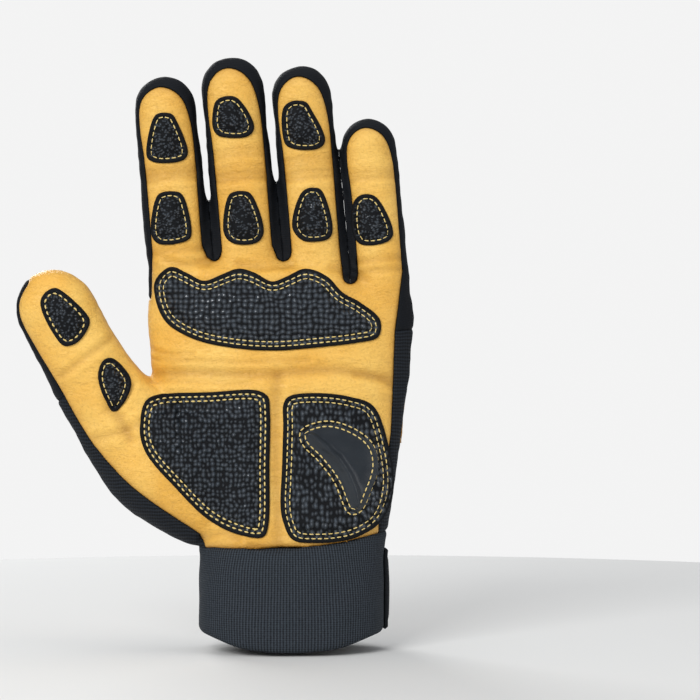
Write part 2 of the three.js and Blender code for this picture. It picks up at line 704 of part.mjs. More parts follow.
// The closure strap lies on the cuff's back, and a plate on the strap. across and up are shares of reach
// and cuff.
const STRAP = [
  [-0.12, 0.95], [0.28, 0.86], [0.57, 0.835], [0.8, 0.775], [0.93, 0.66], [1.0, 0.48], [0.98, 0.3],
  [0.88, 0.14], [0.7, 0.07], [0.4, 0.09], [-0.12, 0.26],
];
const PLATE = [
  [0.1, 0.77], [0.35, 0.735], [0.72, 0.66], [0.92, 0.57], [1.0, 0.44], [0.93, 0.3], [0.78, 0.2],
  [0.45, 0.17], [0.15, 0.24], [0.06, 0.34], [0.04, 0.6],
];
const strapLayer = layer(SEAM, SEAM + STRAP_THICKNESS).intersect(SIDES.back.keep);
const strapOutline = STRAP.map(([across, up]) => cuffPoint(across, up));
add("closure_strap", strapLayer.intersect(prism(smoothLoop(strapOutline, 22))), STRETCH);
const plateFrom = SEAM + STRAP_THICKNESS + SEAM;
const plateLayer = layer(plateFrom, plateFrom + PLATE_THICKNESS).intersect(SIDES.back.keep);
const plateOutline = PLATE.map(([across, up]) => cuffPoint((across * PLATE_REACH) / STRAP_REACH, up));
add("strap_plate", plateLayer.intersect(prism(smoothLoop(plateOutline, 18))), RUBBER);

export default group;
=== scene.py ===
"""Padded mechanic's glove for the left hand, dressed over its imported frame. Lengths are in millimetres until
a piece is made, and the frame is in metres. The palm faces -Y, the fingers point up and the thumb is
towards -X."""

import math

import bmesh
import bpy
import numpy as np
from mathutils import Matrix, Vector, noise
from mathutils.bvhtree import BVHTree
from mathutils.kdtree import KDTree


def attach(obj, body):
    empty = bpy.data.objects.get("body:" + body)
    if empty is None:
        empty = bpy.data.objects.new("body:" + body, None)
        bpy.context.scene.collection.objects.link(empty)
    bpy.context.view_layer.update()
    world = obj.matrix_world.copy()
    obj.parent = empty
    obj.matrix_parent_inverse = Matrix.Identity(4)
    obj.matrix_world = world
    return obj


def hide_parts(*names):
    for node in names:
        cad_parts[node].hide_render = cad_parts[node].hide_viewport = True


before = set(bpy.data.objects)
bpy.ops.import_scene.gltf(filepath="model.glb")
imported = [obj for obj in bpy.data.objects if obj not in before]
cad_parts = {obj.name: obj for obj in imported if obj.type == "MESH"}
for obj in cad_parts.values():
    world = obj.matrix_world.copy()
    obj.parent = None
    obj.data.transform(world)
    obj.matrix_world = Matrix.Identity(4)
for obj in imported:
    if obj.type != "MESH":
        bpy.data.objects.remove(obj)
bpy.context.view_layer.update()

# The hand. A worn glove takes its form from the hand inside, so a smooth form of cuff, palm, fingers and
# thumb comes first. Every panel is cut from it and every pad is raised on it.
CUFF_WIDTH, CUFF_DEPTH, CUFF_HEIGHT = 76.5, 54, 42
PALM_HEIGHT, PALM_DEPTH, PALM_LEAN = 117, 37, 5.2
TOP = CUFF_HEIGHT + PALM_HEIGHT
FINGER_WIDTH, FINGER_LENGTH, FINGER_DEPTH = 27.6, 84.1, 25
FINGER_GAP, FINGER_LEAN, FINGER_CURL = 1.1, math.radians(5.4), 6
LITTLE_DROP = 9.5
THUMB_REACH, THUMB_RISE, THUMB_WIDTH, THUMB_DEPTH = 95.5, 137.5, 33, 28
THUMB_TIP, THUMB_FORWARD = 18, 11
SQUARENESS = 2.4
VOXEL = 0.85
FINGER_EASE = 0.45  # keeps neighbouring fingers apart
FINGERS = [
    {"name": "index", "wide": 0.993, "long": 0.903, "drop": 0, "tab": (0.04, 0.12), "cap": 0.67},
    {"name": "middle", "wide": 1, "long": 1, "drop": 0, "tab": (0.12, 0.13), "cap": 0.58},
    {"name": "ring", "wide": 0.957, "long": 0.956, "drop": 0, "tab": (0.12, 0.05), "cap": 0.6},
    {"name": "little", "wide": 0.884, "long": 0.815, "drop": LITTLE_DROP, "tab": (0.14, 0.03), "cap": None},
]
for f in FINGERS:
    f["width"] = f["wide"] * FINGER_WIDTH
    f["length"] = f["long"] * FINGER_LENGTH
KNUCKLES = sum(f["width"] for f in FINGERS) + FINGER_GAP * (len(FINGERS) - 1)
edge = -PALM_LEAN - KNUCKLES / 2
for f in FINGERS:
    f["x"] = edge + f["width"] / 2
    f["z"] = TOP - f["drop"]
    edge += f["width"] + FINGER_GAP
INDEX, MIDDLE, RING, LITTLE = FINGERS

# The thumb's line runs from inside the palm to its last joint. out and up are shares of its reach and rise.
THUMB_ROWS = [
    {"v": 0.0, "out": 0.3, "up": 0.41, "width": 1.15, "front": 1.2, "back": 1.2},
    {"v": 0.2, "out": 0.46, "up": 0.495, "width": 1.4, "front": 1.38, "back": 1.2},
    {"v": 0.4, "out": 0.605, "up": 0.585, "width": 1.44, "front": 1.35, "back": 1.15},
    {"v": 0.6, "out": 0.78, "up": 0.73, "width": 1.14, "front": 1.02, "back": 1.05},
    {"v": 0.8, "out": 0.9, "up": 0.868, "width": 1.01, "front": 1.02, "back": 1.02},
    {"v": 1.0, "out": 1, "up": 1, "width": 0.99, "front": 1.0, "back": 0.84},
]
FINGER_ROWS = [
    {"v": -0.25, "width": 0.88, "front": 0.9, "back": 0.95},
    {"v": 0.02, "width": 1.0, "front": 1.0, "back": 1.04},
    {"v": 0.22, "width": 1.0, "front": 1.05, "back": 1.0},
    {"v": 0.45, "width": 0.98, "front": 0.94, "back": 1.04},
]
LAST_JOINT = {"width": 0.96, "front": 0.96, "back": 0.84}
# left, right and depth say how far the palm has gone from the cuff's size to the knuckles' size.
PALM_ROWS = [
    {"v": -1.3, "left": 0, "right": 0, "depth": -0.05},
    {"v": -0.4, "left": 0, "right": 0, "depth": 0},
    {"v": -0.03, "left": 0, "right": 0.02, "depth": 0.3},
    {"v": 0.12, "left": 0.15, "right": 0.2, "depth": 0.65},
    {"v": 0.28, "left": 0.42, "right": 0.44, "depth": 0.82},
    {"v": 0.46, "left": 0.84, "right": 0.66, "depth": 0.88},
    {"v": 0.62, "left": 1.0, "right": 0.84, "depth": 0.95},
    {"v": 0.8, "left": 1.02, "right": 1.0, "depth": 1.05},
    {"v": 0.95, "left": 0.98, "right": 1.02, "depth": 1.4},
]


def read(table, column, v):
    """A column of a table at v, on a smooth line through its rows."""
    x = np.array([row["v"] for row in table], float)
    y = np.array([row[column] for row in table], float)
    slope = np.gradient(y, x)
    i = int(np.clip(np.searchsorted(x, v) - 1, 0, len(x) - 2))
    run = x[i + 1] - x[i]
    t = np.clip((v - x[i]) / run, 0, 1)
    ends = (2 * t**3 - 3 * t**2 + 1) * y[i] + (3 * t**2 - 2 * t**3) * y[i + 1]
    return ends + run * ((t**3 - 2 * t**2 + t) * slope[i] + (t**3 - t**2) * slope[i + 1])


def on_curve(points, share, closed=False):
    """The point at a share of a smooth curve's spans. A closed one keeps clear of loops at close points."""
    n = len(points)
    spans = n if closed else n - 1
    i = min(int(share * spans), spans - 1)
    t = share * spans - i
    places = [(i + k) % n if closed else min(max(i + k, 0), n - 1) for k in (-1, 0, 1, 2)]
    a, b, c, d = (np.asarray(points[k], float) for k in places)
    pairs = ((a, b), (b, c), (c, d))
    before, within, after = (max(math.dist(p, q), 1e-6) ** 0.5 if closed else 1 for p, q in pairs)
    leave = within * ((b - a) / before - (c - a) / (before + within) + (c - b) / within)
    arrive = within * ((c - b) / within - (d - b) / (within + after) + (d - c) / after)
    ends = (2 * t**3 - 3 * t**2 + 1) * b + (3 * t**2 - 2 * t**3) * c
    return ends + (t**3 - 2 * t**2 + t) * leave + (t**3 - t**2) * arrive


def curve(points, count, closed=False):
    return np.array([on_curve(points, k / count, closed) for k in range(count + (not closed))])


def on_finger(f, u, v):
    """A point seen from the palm: u is across in half widths, and v runs from crotch to tip."""
    across, along = u * f["width"] / 2, v * f["length"]
    lean, rise = math.sin(FINGER_LEAN), math.cos(FINGER_LEAN)
    return np.array([f["x"] + across * rise - along * lean, f["z"] + across * lean + along * rise])


def palm_z(v):
    return CUFF_HEIGHT * (1 + v) if v < 0 else CUFF_HEIGHT + PALM_HEIGHT * v


def on_palm(u, v):
    """u is across in half knuckle widths; v is -1 at the hem, 0 at the cuff's seam and 1 at the crotches."""
    return np.array([-PALM_LEAN * max(0, v) + u * KNUCKLES / 2, palm_z(v)])


THUMB_LINE = [(-row["out"] * THUMB_REACH, row["up"] * THUMB_RISE) for row in THUMB_ROWS]


def thumb_side(v):
    v = min(max(v, 0), 1)
    along = on_curve(THUMB_LINE, min(v + 1e-3, 1)) - on_curve(THUMB_LINE, max(v - 1e-3, 0))
    along /= np.hypot(*along)
    return np.array([along[1], -along[0]])


def on_thumb(u, v):
    """u is across in half widths, and v runs to the last joint at 1 and on over the tip."""
    side = thumb_side(v)
    joint = min(max(v, 0), 1)
    half = THUMB_WIDTH / 2 * np.interp(joint, [r["v"] for r in THUMB_ROWS], [r["width"] for r in THUMB_ROWS])
    past = max(0, v - 1) * THUMB_TIP
    return on_curve(THUMB_LINE, joint) + side * u * half + past * np.array([-side[1], side[0]])


def middle_y(x, z):
    """The hand's middle surface: the fingers curl a little towards the palm, and the thumb lies forward."""
    up = np.maximum(0, (z - TOP) / FINGER_LENGTH)
    start = KNUCKLES / 2 + PALM_LEAN
    out = np.clip((-x - start) / (THUMB_REACH - start), 0, 1.3)
    return -FINGER_CURL * up**2 - THUMB_FORWARD * out


def ring(at, side, half, front, back):
    """A ring of the form: half is its left and right half widths, and front and back are its half depths."""
    y = float(middle_y(at[0], at[1]))
    return {"at": (at[0], y, at[1]), "side": side, "half": half, "deep": (front, back)}


def dome(last, height):
    """Rings over the end of a finger or a thumb."""
    rows = []
    for angle in np.radians(np.linspace(10, 84, 10)):
        up, share = height * math.sin(angle), math.cos(angle)
        at = np.array([last["at"][0] - last["side"][1] * up, last["at"][2] + last["side"][0] * up])
        half, deep = ([share * size for size in last[key]] for key in ("half", "deep"))
        rows.append(ring(at, last["side"], half, *deep))
    return rows


def add_form(bm, rows, around=56):
    """A sphere whose rings are moved to the rows."""
    made = bmesh.ops.create_uvsphere(bm, u_segments=around, v_segments=len(rows) + 1, radius=1)["verts"]
    for v in made:
        place = math.acos(max(-1, min(1, -v.co.z))) / math.pi * (len(rows) + 1)
        row = rows[min(max(round(place) - 1, 0), len(rows) - 1)]
        x, y = v.co.x, v.co.y
        reach = math.hypot(x, y)
        if reach < 1e-4:
            v.co = row["at"]
            continue
        across = math.copysign(abs(x / reach) ** (2 / SQUARENESS), x)
        deep = math.copysign(abs(y / reach) ** (2 / SQUARENESS), y)
        wide = across * row["half"][across > 0]
        v.co = (
            row["at"][0] + row["side"][0] * wide,
            row["at"][1] + deep * row["deep"][deep > 0],
            row["at"][2] + row["side"][1] * wide,
        )
    return made


def with_modifier(bm, kind, **settings):
    """The mesh that a modifier makes of bm."""
    mesh = bpy.data.meshes.new("hand")
    bm.to_mesh(mesh)
    bm.free()
    stand = bpy.data.objects.new("hand", mesh)
    bpy.context.scene.collection.objects.link(stand)
    modifier = stand.modifiers.new("form", kind)
    for name, value in settings.items():
        setattr(modifier, name, value)
    shaped = stand.evaluated_get(bpy.context.evaluated_depsgraph_get())
    made = bmesh.new()
    made.from_mesh(shaped.to_mesh())
    bpy.data.objects.remove(stand)
    bpy.data.meshes.remove(mesh)
    return made


hand = bmesh.new()
for f in FINGERS:
    last = 1 - f["width"] / 2 / f["length"]
    table = [*FINGER_ROWS, {**LAST_JOINT, "v": last}]
    side = np.array([math.cos(FINGER_LEAN), math.sin(FINGER_LEAN)])
    rows = []
    for v in np.linspace(-0.25, last, 26):
        half = f["width"] / 2 * read(table, "width", v) - FINGER_EASE
        deep = [FINGER_DEPTH / 2 * read(table, way, v) for way in ("front", "back")]
        rows.append(ring(on_finger(f, 0, v), side, (half, half), *deep))
    add_form(hand, rows + dome(rows[-1], f["width"] / 2))
# A web of side cloth joins the roots of neighbouring fingers, and runs highest beside the little finger.
for f, g, rise in ((INDEX, MIDDLE, 25), (MIDDLE, RING, 33), (RING, LITTLE, 56)):
    web = bmesh.ops.create_uvsphere(hand, u_segments=16, v_segments=12, radius=1)["verts"]
    gap = (f["x"] + f["width"] / 2 + g["x"] - g["width"] / 2) / 2
    low = min(f["z"], g["z"])
    lean = math.tan(FINGER_LEAN)
    for v in web:
        up = v.co.z * rise
        v.co = (gap + v.co.x * 3 - up * lean, v.co.y * 7.5, low + up)
rows = []
for v in np.linspace(0, 1, 26):
    half = THUMB_WIDTH / 2 * read(THUMB_ROWS, "width", v)
    deep = [THUMB_DEPTH / 2 * read(THUMB_ROWS, way, v) for way in ("front", "back")]
    rows.append(ring(on_curve(THUMB_LINE, v), thumb_side(v), (half, half), *deep))
add_form(hand, rows + dome(rows[-1], THUMB_TIP))
rows = []
for v in [*np.linspace(-1.3, 0.95, 46), 0.97, 0.985, 1.0]:
    end = max(0, (v - 0.95) / 0.05)
    girth = [
        (CUFF_WIDTH + read(PALM_ROWS, way, v) * (KNUCKLES - CUFF_WIDTH)) / 2 * (1 - 0.08 * end)
        for way in ("left", "right")
    ]
    deep = (CUFF_DEPTH + read(PALM_ROWS, "depth", v) * (PALM_DEPTH - CUFF_DEPTH)) / 2 * (1 - 0.5 * end**1.5)
    made = ring(on_palm(0, v), (1, 0), girth, deep, deep)
    made["at"] = (made["at"][0], 0, made["at"][2])
    rows.append(made)
# The knuckle line drops towards the little finger.
for v in add_form(hand, rows, 96):
    across = np.clip((v.co.x - RING["x"]) / (LITTLE["x"] - RING["x"]), 0, 1)
    up = np.clip((v.co.z - palm_z(0.5)) / (TOP - palm_z(0.5)), 0, 1)
    v.co.z -= LITTLE_DROP * (3 - 2 * across) * across**2 * (3 - 2 * up) * up**2
hand = with_modifier(hand, "REMESH", mode="VOXEL", voxel_size=VOXEL, adaptivity=0)
for _ in range(18):
    bmesh.ops.smooth_vert(
        hand, verts=hand.verts, factor=0.5, use_axis_x=True, use_axis_y=True, use_axis_z=True
    )


# Creases. Leather folds where the hand bends: between the balls of the hand, under the knuckles and at the
# finger joints. Each is pressed in along a line, with soft banks beside it.
def to_line(at, line):
    """How far points lie from a line of straight runs."""
    nearest = np.full(len(at), np.inf)
    for a, b in zip(line[:-1], line[1:]):
        run = b - a
        t = np.clip(((at - a) @ run) / max(run @ run, 1e-9), 0, 1)
        away = at - a - t[:, None] * run
        nearest = np.minimum(nearest, np.hypot(away[:, 0], away[:, 1]))
    return nearest


PALM_CREASES = [
    {"points": [(-0.085, 0.0), (-0.08, 0.3), (-0.06, 0.52), (-0.04, 0.585)], "wide": 3.0, "deep": 0.9},
    {
        "points": [(-0.98, 0.6), (-0.62, 0.607), (-0.2, 0.6), (0.4, 0.615), (0.9, 0.57)],
        "wide": 2.6, "deep": 1.0,
    },
    {"points": [(-0.99, 0.655), (-0.7, 0.65), (-0.3, 0.645), (0.2, 0.65)], "wide": 1.3, "deep": 0.5},
    {"points": [(-1.0, 0.69), (-0.86, 0.672), (-0.66, 0.675)], "wide": 1.1, "deep": 0.5},
    {"points": [(-1.0, 0.575), (-0.6, 0.572), (-0.25, 0.567)], "wide": 1.1, "deep": 0.4},
    {"points": [(-1.3, 0.5), (-1.22, 0.44), (-1.16, 0.38)], "wide": 2.6, "deep": 1.0},
    {"points": [(-1.12, 0.56), (-1.2, 0.5), (-1.34, 0.47)], "wide": 1.2, "deep": 0.5},
    {"points": [(0.55, 0.6), (0.75, 0.58), (0.88, 0.53)], "wide": 1.3, "deep": 0.5},
    {"points": [(-0.3, 0.985), (-0.1, 0.972), (0.1, 0.985)], "wide": 1.6, "deep": 0.7},
    {"points": [(-0.85, 1.0), (-0.7, 0.985), (-0.52, 0.99)], "wide": 1.4, "deep": 0.6},
    {"points": [(0.4, 0.97), (0.52, 0.955), (0.66, 0.93)], "wide": 1.4, "deep": 0.6},
    {"points": [(-0.3, 0.01), (-0.1, 0.0), (0.05, 0.005)], "wide": 1.4, "deep": 0.6},
    {"points": [(-0.65, 0.02), (-0.5, 0.05), (-0.38, 0.03)], "wide": 1.6, "deep": 0.6},
]
FINGER_CREASES = [
    (INDEX, 0.43, 0.7), (INDEX, 0.46, 0.8), (INDEX, 0.49, 0.5), (INDEX, 0.04, 0.5), (MIDDLE, 0.385, 0.9),
    (MIDDLE, 0.415, 0.8), (MIDDLE, 0.45, 0.4), (MIDDLE, 0.5, 0.5), (MIDDLE, 0.53, 0.4), (RING, 0.41, 0.7),
    (RING, 0.445, 0.7), (RING, 0.48, 0.5), (RING, 0.51, 0.5), (LITTLE, 0.13, 0.6), (LITTLE, 0.62, 0.6),
    (LITTLE, 0.66, 0.4), (LITTLE, 0.07, 0.5),
]
creases = [(curve([on_palm(*p) for p in c["points"]], 16), c["wide"], c["deep"]) for c in PALM_CREASES]
for f, v, deep in FINGER_CREASES:
    bowed = [on_finger(f, u, v + 0.012 * (1 - u * u)) for u in (-0.75, 0, 0.75)]
    creases.append((curve(bowed, 6), 1.5, deep))
creases.append((curve([on_thumb(u, 0.78 + 0.02 * u) for u in (-0.6, 0, 0.9)], 6), 1.6, 0.6))
creases.append((curve([on_thumb(u, 0.5 - 0.06 * u) for u in (-0.6, 0, 0.7)], 6), 1.8, 0.6))
hand.normal_update()
at = np.array([v.co[:] for v in hand.verts])
out = np.array([v.normal[:] for v in hand.verts])
in_front = np.clip(-out[:, 1] * 1.6, 0, 1)
relief = np.zeros(len(at))
folded = np.zeros(len(at))
for line, wide, deep in creases:
    low, high = line.min(0) - 4 * wide, line.max(0) + 4 * wide
    near = np.all((at[:, [0, 2]] > low) & (at[:, [0, 2]] < high), axis=1) & (in_front > 0)
    away = to_line(at[near][:, [0, 2]], line) / wide
    relief[near] += in_front[near] * deep * (0.35 * np.exp(-((away - 2) ** 2)) - np.exp(-(away**2)))
    folded[near] += in_front[near] * deep * np.exp(-((away / 0.8) ** 2))
soft = np.array([noise.noise(Vector(p) / 13) for p in at])
fine = np.array([noise.noise(Vector((p[0] / 7, p[1] / 7, p[2] / 3.2))) for p in at])
relief += 0.5 * soft + 0.2 * fine * (at[:, 2] > CUFF_HEIGHT)
# The fold layer marks the crease lines, where the leather is painted darker as painted shade.
fold = hand.verts.layers.float.new("fold")
for v, d, share in zip(hand.verts, relief, folded):
    v.co += v.normal * d
    v[fold] = min(1, 0.55 * share)


# Cutting. A panel's pattern is an outline seen from the palm, on the front or the back of the hand.
def inside(at, outline):
    """How deep points lie inside an outline. Outside it the depth is below 0."""
    depth = np.full(len(at), -9.0)
    near = np.all((at > outline.min(0) - 4) & (at < outline.max(0) + 4), axis=1)
    p = at[near]
    loop = np.vstack([outline, outline[:1]])
    odd = np.zeros(len(p), bool)
    for a, b in zip(loop[:-1], loop[1:]):
        if a[1] == b[1]:
            continue
        crosses = (a[1] > p[:, 1]) != (b[1] > p[:, 1])
        odd ^= crosses & (p[:, 0] < a[0] + (p[:, 1] - a[1]) * (b[0] - a[0]) / (b[1] - a[1]))
    depth[near] = np.where(odd, 1, -1) * to_line(p, loop)
    return depth


def pattern(outline, way=0):
    """The depth inside an outline, and in front of the hand's middle for way -1 or behind it for way 1."""
    outline = np.array(outline, float)

    def depth(at):
        seen = inside(at[:, [0, 2]], outline)
        return np.minimum(seen, way * (at[:, 1] - middle_y(at[:, 0], at[:, 2]))) if way else seen

    return depth


def mark(bm, depth_at, number):
    """Cuts bm's faces along a pattern's edge, and numbers those inside it that have no number yet."""
    piece, level = bm.faces.layers.int["piece"], bm.verts.layers.float["level"]
    for v, depth in zip(bm.verts, depth_at(np.array([v.co[:] for v in bm.verts]))):
        v[level] = depth
    on_edge = []
    for e in list(bm.edges):
        a, b = e.verts
        if a[level] * b[level] >= 0 or all(face[piece] for face in e.link_faces):
            continue
        share = a[level] / (a[level] - b[level])
        if 0.2 < share < 0.8:
            on_edge.append(bmesh.utils.edge_split(e, a, share)[1])
        else:
            on_edge.append(a if share < 0.5 else b)
            on_edge[-1].co = a.co.lerp(b.co, share)
        on_edge[-1][level] = 0
    bmesh.ops.connect_verts(bm, verts=list(dict.fromkeys(on_edge)))
    for face in bm.faces:
        if face[piece] == 0 and sum(v[level] for v in face.verts) > 0:
            face[piece] = number


PAST_HEM = 99  # the number of the faces below the hem
WELD = 0.12
FOLDED = 0.85  # the cosine of the angle past which a lone border face is folded over


def is_splinter(v):
    """A vertex of no face, or of a single face that is folded out of the surface around it."""
    if len(v.link_faces) != 1:
        return not v.link_faces
    face = v.link_faces[0]
    others = [other for edge in face.edges for other in edge.link_faces if other is not face]
    return all(face.normal.dot(other.normal) < FOLDED for other in others)


def cut_out(bm, number):
    """The faces with a number, as a panel of their own."""
    rest = bm.copy()
    piece = rest.faces.layers.int["piece"]
    bmesh.ops.delete(rest, geom=[face for face in rest.faces if face[piece] != number], context="FACES")
    bmesh.ops.remove_doubles(rest, verts=rest.verts, dist=WELD)
    rest.normal_update()
    bmesh.ops.delete(rest, geom=[v for v in rest.verts if is_splinter(v)], context="VERTS")
    small = bpy.data.meshes.new("panel")
    rest.to_mesh(small)
    rest.free()
    panel = bmesh.new()
    panel.from_mesh(small)
    bpy.data.meshes.remove(small)
    panel.normal_update()
    return panel


# The cuff lies between the hem and the seam; across is in half cuff widths.
HEM_RISE, SEAM_RISE = 9, 7
CUFF_EDGES = [
    (-1.6, 1.0, -0.4), (-1.0, 0.75, -0.1), (-0.5, 0.15, 0), (0.0, 0, 0.05), (0.5, 0.15, 0.3),
    (1.0, 0.75, 0.8), (1.6, 1.0, 1.2),
]
hem_line = curve([(a * CUFF_WIDTH / 2, HEM_RISE * hem) for a, hem, _ in CUFF_EDGES], 40)
seam_line = curve([(a * CUFF_WIDTH / 2, CUFF_HEIGHT + SEAM_RISE * seam) for a, _, seam in CUFF_EDGES], 40)


def below(line):
    return lambda at: np.interp(at[:, 0], line[:, 0], line[:, 1]) - at[:, 2]


# The leather edges on a finger: left and right are across, at v along the finger.
FINGER_EDGES = [
    (0.06, -0.8, 0.78), (0.3, -0.78, 0.8), (0.55, -0.78, 0.82), (0.72, -0.82, 0.8), (0.84, -0.76, 0.66),
    (0.91, -0.5, 0.36),
]
EDGE_TOP = (-0.08, 0.94)


def up_edge(f, low, high):
    return [on_finger(f, left, v) for v, left, _ in FINGER_EDGES if low < v < high]


def down_edge(f, low, high):
    return [on_finger(f, right, v) for v, _, right in reversed(FINGER_EDGES) if low < v < high]


def over_tip(f, low):
    return list(curve([*up_edge(f, low, 1), on_finger(f, *EDGE_TOP), *down_edge(f, low, 1)], 40))


def edge_at(f, v, which):
    u = np.interp(v, [row[0] for row in FINGER_EDGES], [row[which] for row in FINGER_EDGES])
    return on_finger(f, u, v)


PALM_SLOT_RADIUS, BACK_SLOT_RADIUS, BACK_SLOT = 2.6, 1.6, 8.5


def slot_end(f, g, low, radius):
    """The slot between two fingers ends in a round this far below the lower crotch."""
    x = (f["x"] + f["width"] / 2 + g["x"] - g["width"] / 2) / 2
    z = min(f["z"], g["z"]) - low + radius
    turns = np.linspace(-math.pi, 0, 9)
    return [np.array([x + radius * math.cos(t), z + radius * math.sin(t)]) for t in turns]


THUMB_FRONT_EDGE = [
    (-0.66, 0.02), (-0.62, 0.28), (-0.66, 0.42), (-0.76, 0.56), (-0.78, 0.74), (-0.86, 0.9), (-0.86, 1.2),
    (-0.68, 1.6), (-0.3, 1.86),
]
SIDE_SEAM = 0.84
palm_outline = [
    on_palm(-0.6, -0.2),
    *curve([on_thumb(*p) for p in THUMB_FRONT_EDGE], 40),
    on_thumb(0.1, 2.4),
    on_thumb(1.5, 1.6),
    on_palm(-1.25, SIDE_SEAM),
    on_palm(-0.98, SIDE_SEAM + 0.03),
]
for i, f in enumerate(FINGERS):
    palm_outline += over_tip(f, 0) + (slot_end(f, FINGERS[i + 1], 0, PALM_SLOT_RADIUS) if i < 3 else [])
palm_outline += [on_palm(0.86, 0.75), on_palm(0.8, 0.4), on_palm(0.68, 0.1), on_palm(0.66, -0.2)]

THUMB_LEAF = [
    (0.05, 0.5), (-0.3, 0.58), (-0.7, 0.68), (-0.84, 0.85), (-0.86, 1.2), (-0.68, 1.6), (-0.3, 1.86),
]
LEAF_POINT, CROTCH = (-1.02, 0.42), (-1.02, 0.6)
leaf_edge = curve([on_thumb(*p) for p in THUMB_LEAF], 40)
leaf_outline = [
    on_palm(*LEAF_POINT),
    *leaf_edge,
    *(on_thumb(u, v) for u, v in ((0.1, 2.4), (1.5, 1.6), (1.25, 0.8))),
    on_palm(*CROTCH),
]

TAB_ARCH, CAP_ARCH = 0.02, 0.09


def arch_line(f, left, right, rise):
    top = on_finger(f, 0, (left + right) / 2 + rise)
    return list(curve([edge_at(f, left, 1), top, edge_at(f, right, 2)], 16))


def tab_line(f):
    return arch_line(f, *f["tab"], TAB_ARCH)


def cap_line(f):
    return arch_line(f, f["cap"], f["cap"], CAP_ARCH)


YOKE_ARCH = [
    (1.3, 0.22), (0.97, 0.28), (0.76, 0.44), (0.55, 0.54), (0.36, 0.61), (0.1, 0.635), (-0.12, 0.63),
    (-0.36, 0.59), (-0.6, 0.455), (-0.86, 0.33), (-1.06, 0.26),
]
yoke_arch = curve([on_palm(*p) for p in YOKE_ARCH], 60)
yoke_outline = [
    on_palm(LEAF_POINT[0] - 0.06, LEAF_POINT[1] - 0.1),
    on_palm(*LEAF_POINT),
    on_palm(*CROTCH),
    on_palm(-1.25, CROTCH[1] + 0.05),
    on_palm(-1.25, SIDE_SEAM),
    on_palm(-0.98, SIDE_SEAM + 0.03),
]
for i, f in enumerate(FINGERS):
    yoke_outline += tab_line(f) + (slot_end(f, FINGERS[i + 1], BACK_SLOT, BACK_SLOT_RADIUS) if i < 3 else [])
yoke_outline += [on_palm(0.98, 0.76), on_palm(1.3, 0.74), *yoke_arch]


def between(before, after, v):
    """Neighbouring side strips part midway between their fingers."""
    if before is None:
        return on_finger(after, -1.6, v)
    if after is None:
        return on_finger(before, 1.6, v)
    return (on_finger(before, 1, v) + on_finger(after, -1, v)) / 2


FRONT, BACK = -1, 1
patterns = {
    "cuff": below(seam_line),
    "palm_leather": pattern(palm_outline, FRONT),
    "thumb_back": pattern(leaf_outline, BACK),
    "knuckle_yoke": pattern(yoke_outline, BACK),
}
for f in FINGERS:
    low = max(f["tab"])
    if f["cap"]:
        patterns[f["name"] + "_cap"] = pattern([*over_tip(f, f["cap"]), *reversed(cap_line(f))], BACK)
        outline = [
            *up_edge(f, low, f["cap"]), *cap_line(f), *down_edge(f, low, f["cap"]), *reversed(tab_line(f)),
        ]
    else:
        outline = [*over_tip(f, low), *reversed(tab_line(f))]
    patterns[f["name"] + "_back"] = pattern(outline, BACK)
for i, f in enumerate(FINGERS):
    before = FINGERS[i - 1] if i else None
    after = FINGERS[i + 1] if i < 3 else None
    slot_low = f["z"] - 1.5 * BACK_SLOT - LITTLE_DROP
    outline = [
        on_palm(-1.3, SIDE_SEAM - 0.01) if before is None else (between(before, f, 0)[0], slot_low),
        between(before, f, 0),
        between(before, f, 1.4),
        between(f, after, 1.4),
        between(f, after, 0),
        on_palm(1.3, 0.78) if after is None else (between(f, after, 0)[0], slot_low),
    ]
    patterns[f["name"] + "_side"] = pattern(outline)
strip = [(-0.1, 0.7), (-1.7, 0.7), (-1.7, 1.6), (-1, 2.8), (0.9, 2.8), (0.4, 1.4)]
patterns["thumb_side"] = pattern([on_thumb(*p) for p in strip])
patterns["hand_back"] = lambda at: np.ones(len(at))

# What reaches below the hem is cut off, and the wrist opening stays.
piece_layer = hand.faces.layers.int.new("piece")
hand.verts.layers.float.new("level")
mark(hand, below(hem_line), PAST_HEM)
past_hem = [face for face in hand.faces if face[piece_layer] == PAST_HEM]
bmesh.ops.delete(hand, geom=past_hem, context="FACES")
skin = hand.copy()
for number, name in enumerate(patterns, 1):
    mark(hand, patterns[name], number)
panels = {name: cut_out(hand, number) for number, name in enumerate(patterns, 1)}
hand.free()


# Finishes. Every material is made of nodes that these two functions add and join.
NUMBERED = ("i0", "i1", "i2")


def plug(tree, node, **inputs):
    """Sets or links a node's inputs. A node that is given as a value stands for its first output."""
    for name, value in inputs.items():
        socket = node.inputs[int(name[1]) if name in NUMBERED else name.replace("_", " ")]
        if isinstance(value, bpy.types.Node):
            value = value.outputs[0]
        if isinstance(value, bpy.types.NodeSocket):
            tree.links.new(value, socket)
        else:
            socket.default_value = value


def put(tree, kind, **settings):
    """A new node: a name in lower case is one of its settings, and any other an input."""
    made = tree.nodes.new("ShaderNode" + kind)
    for name in [name for name in settings if name[0].islower() and name not in NUMBERED]:
        setattr(made, name, settings.pop(name))
    plug(tree, made, **settings)
    return made


def colour(text):
    """A linear colour from sRGB hex."""
    parts = [int(text[i : i + 2], 16) / 255 for i in (0, 2, 4)]
    return (*(c / 12.92 if c <= 0.04045 else ((c + 0.055) / 1.055) ** 2.4 for c in parts), 1)


def finish(name):
    """An empty material: its tree, its shader, and a point on the glove in millimetres."""
    material = bpy.data.materials.new(name)
    material.use_nodes = True
    tree = material.node_tree
    shader = tree.nodes["Principled BSDF"]
    point = put(tree, "Mapping", Vector=put(tree, "TexCoord").outputs["Object"], Scale=(1000, 1000, 1000))
    return material, tree, shader, point.outputs["Vector"]
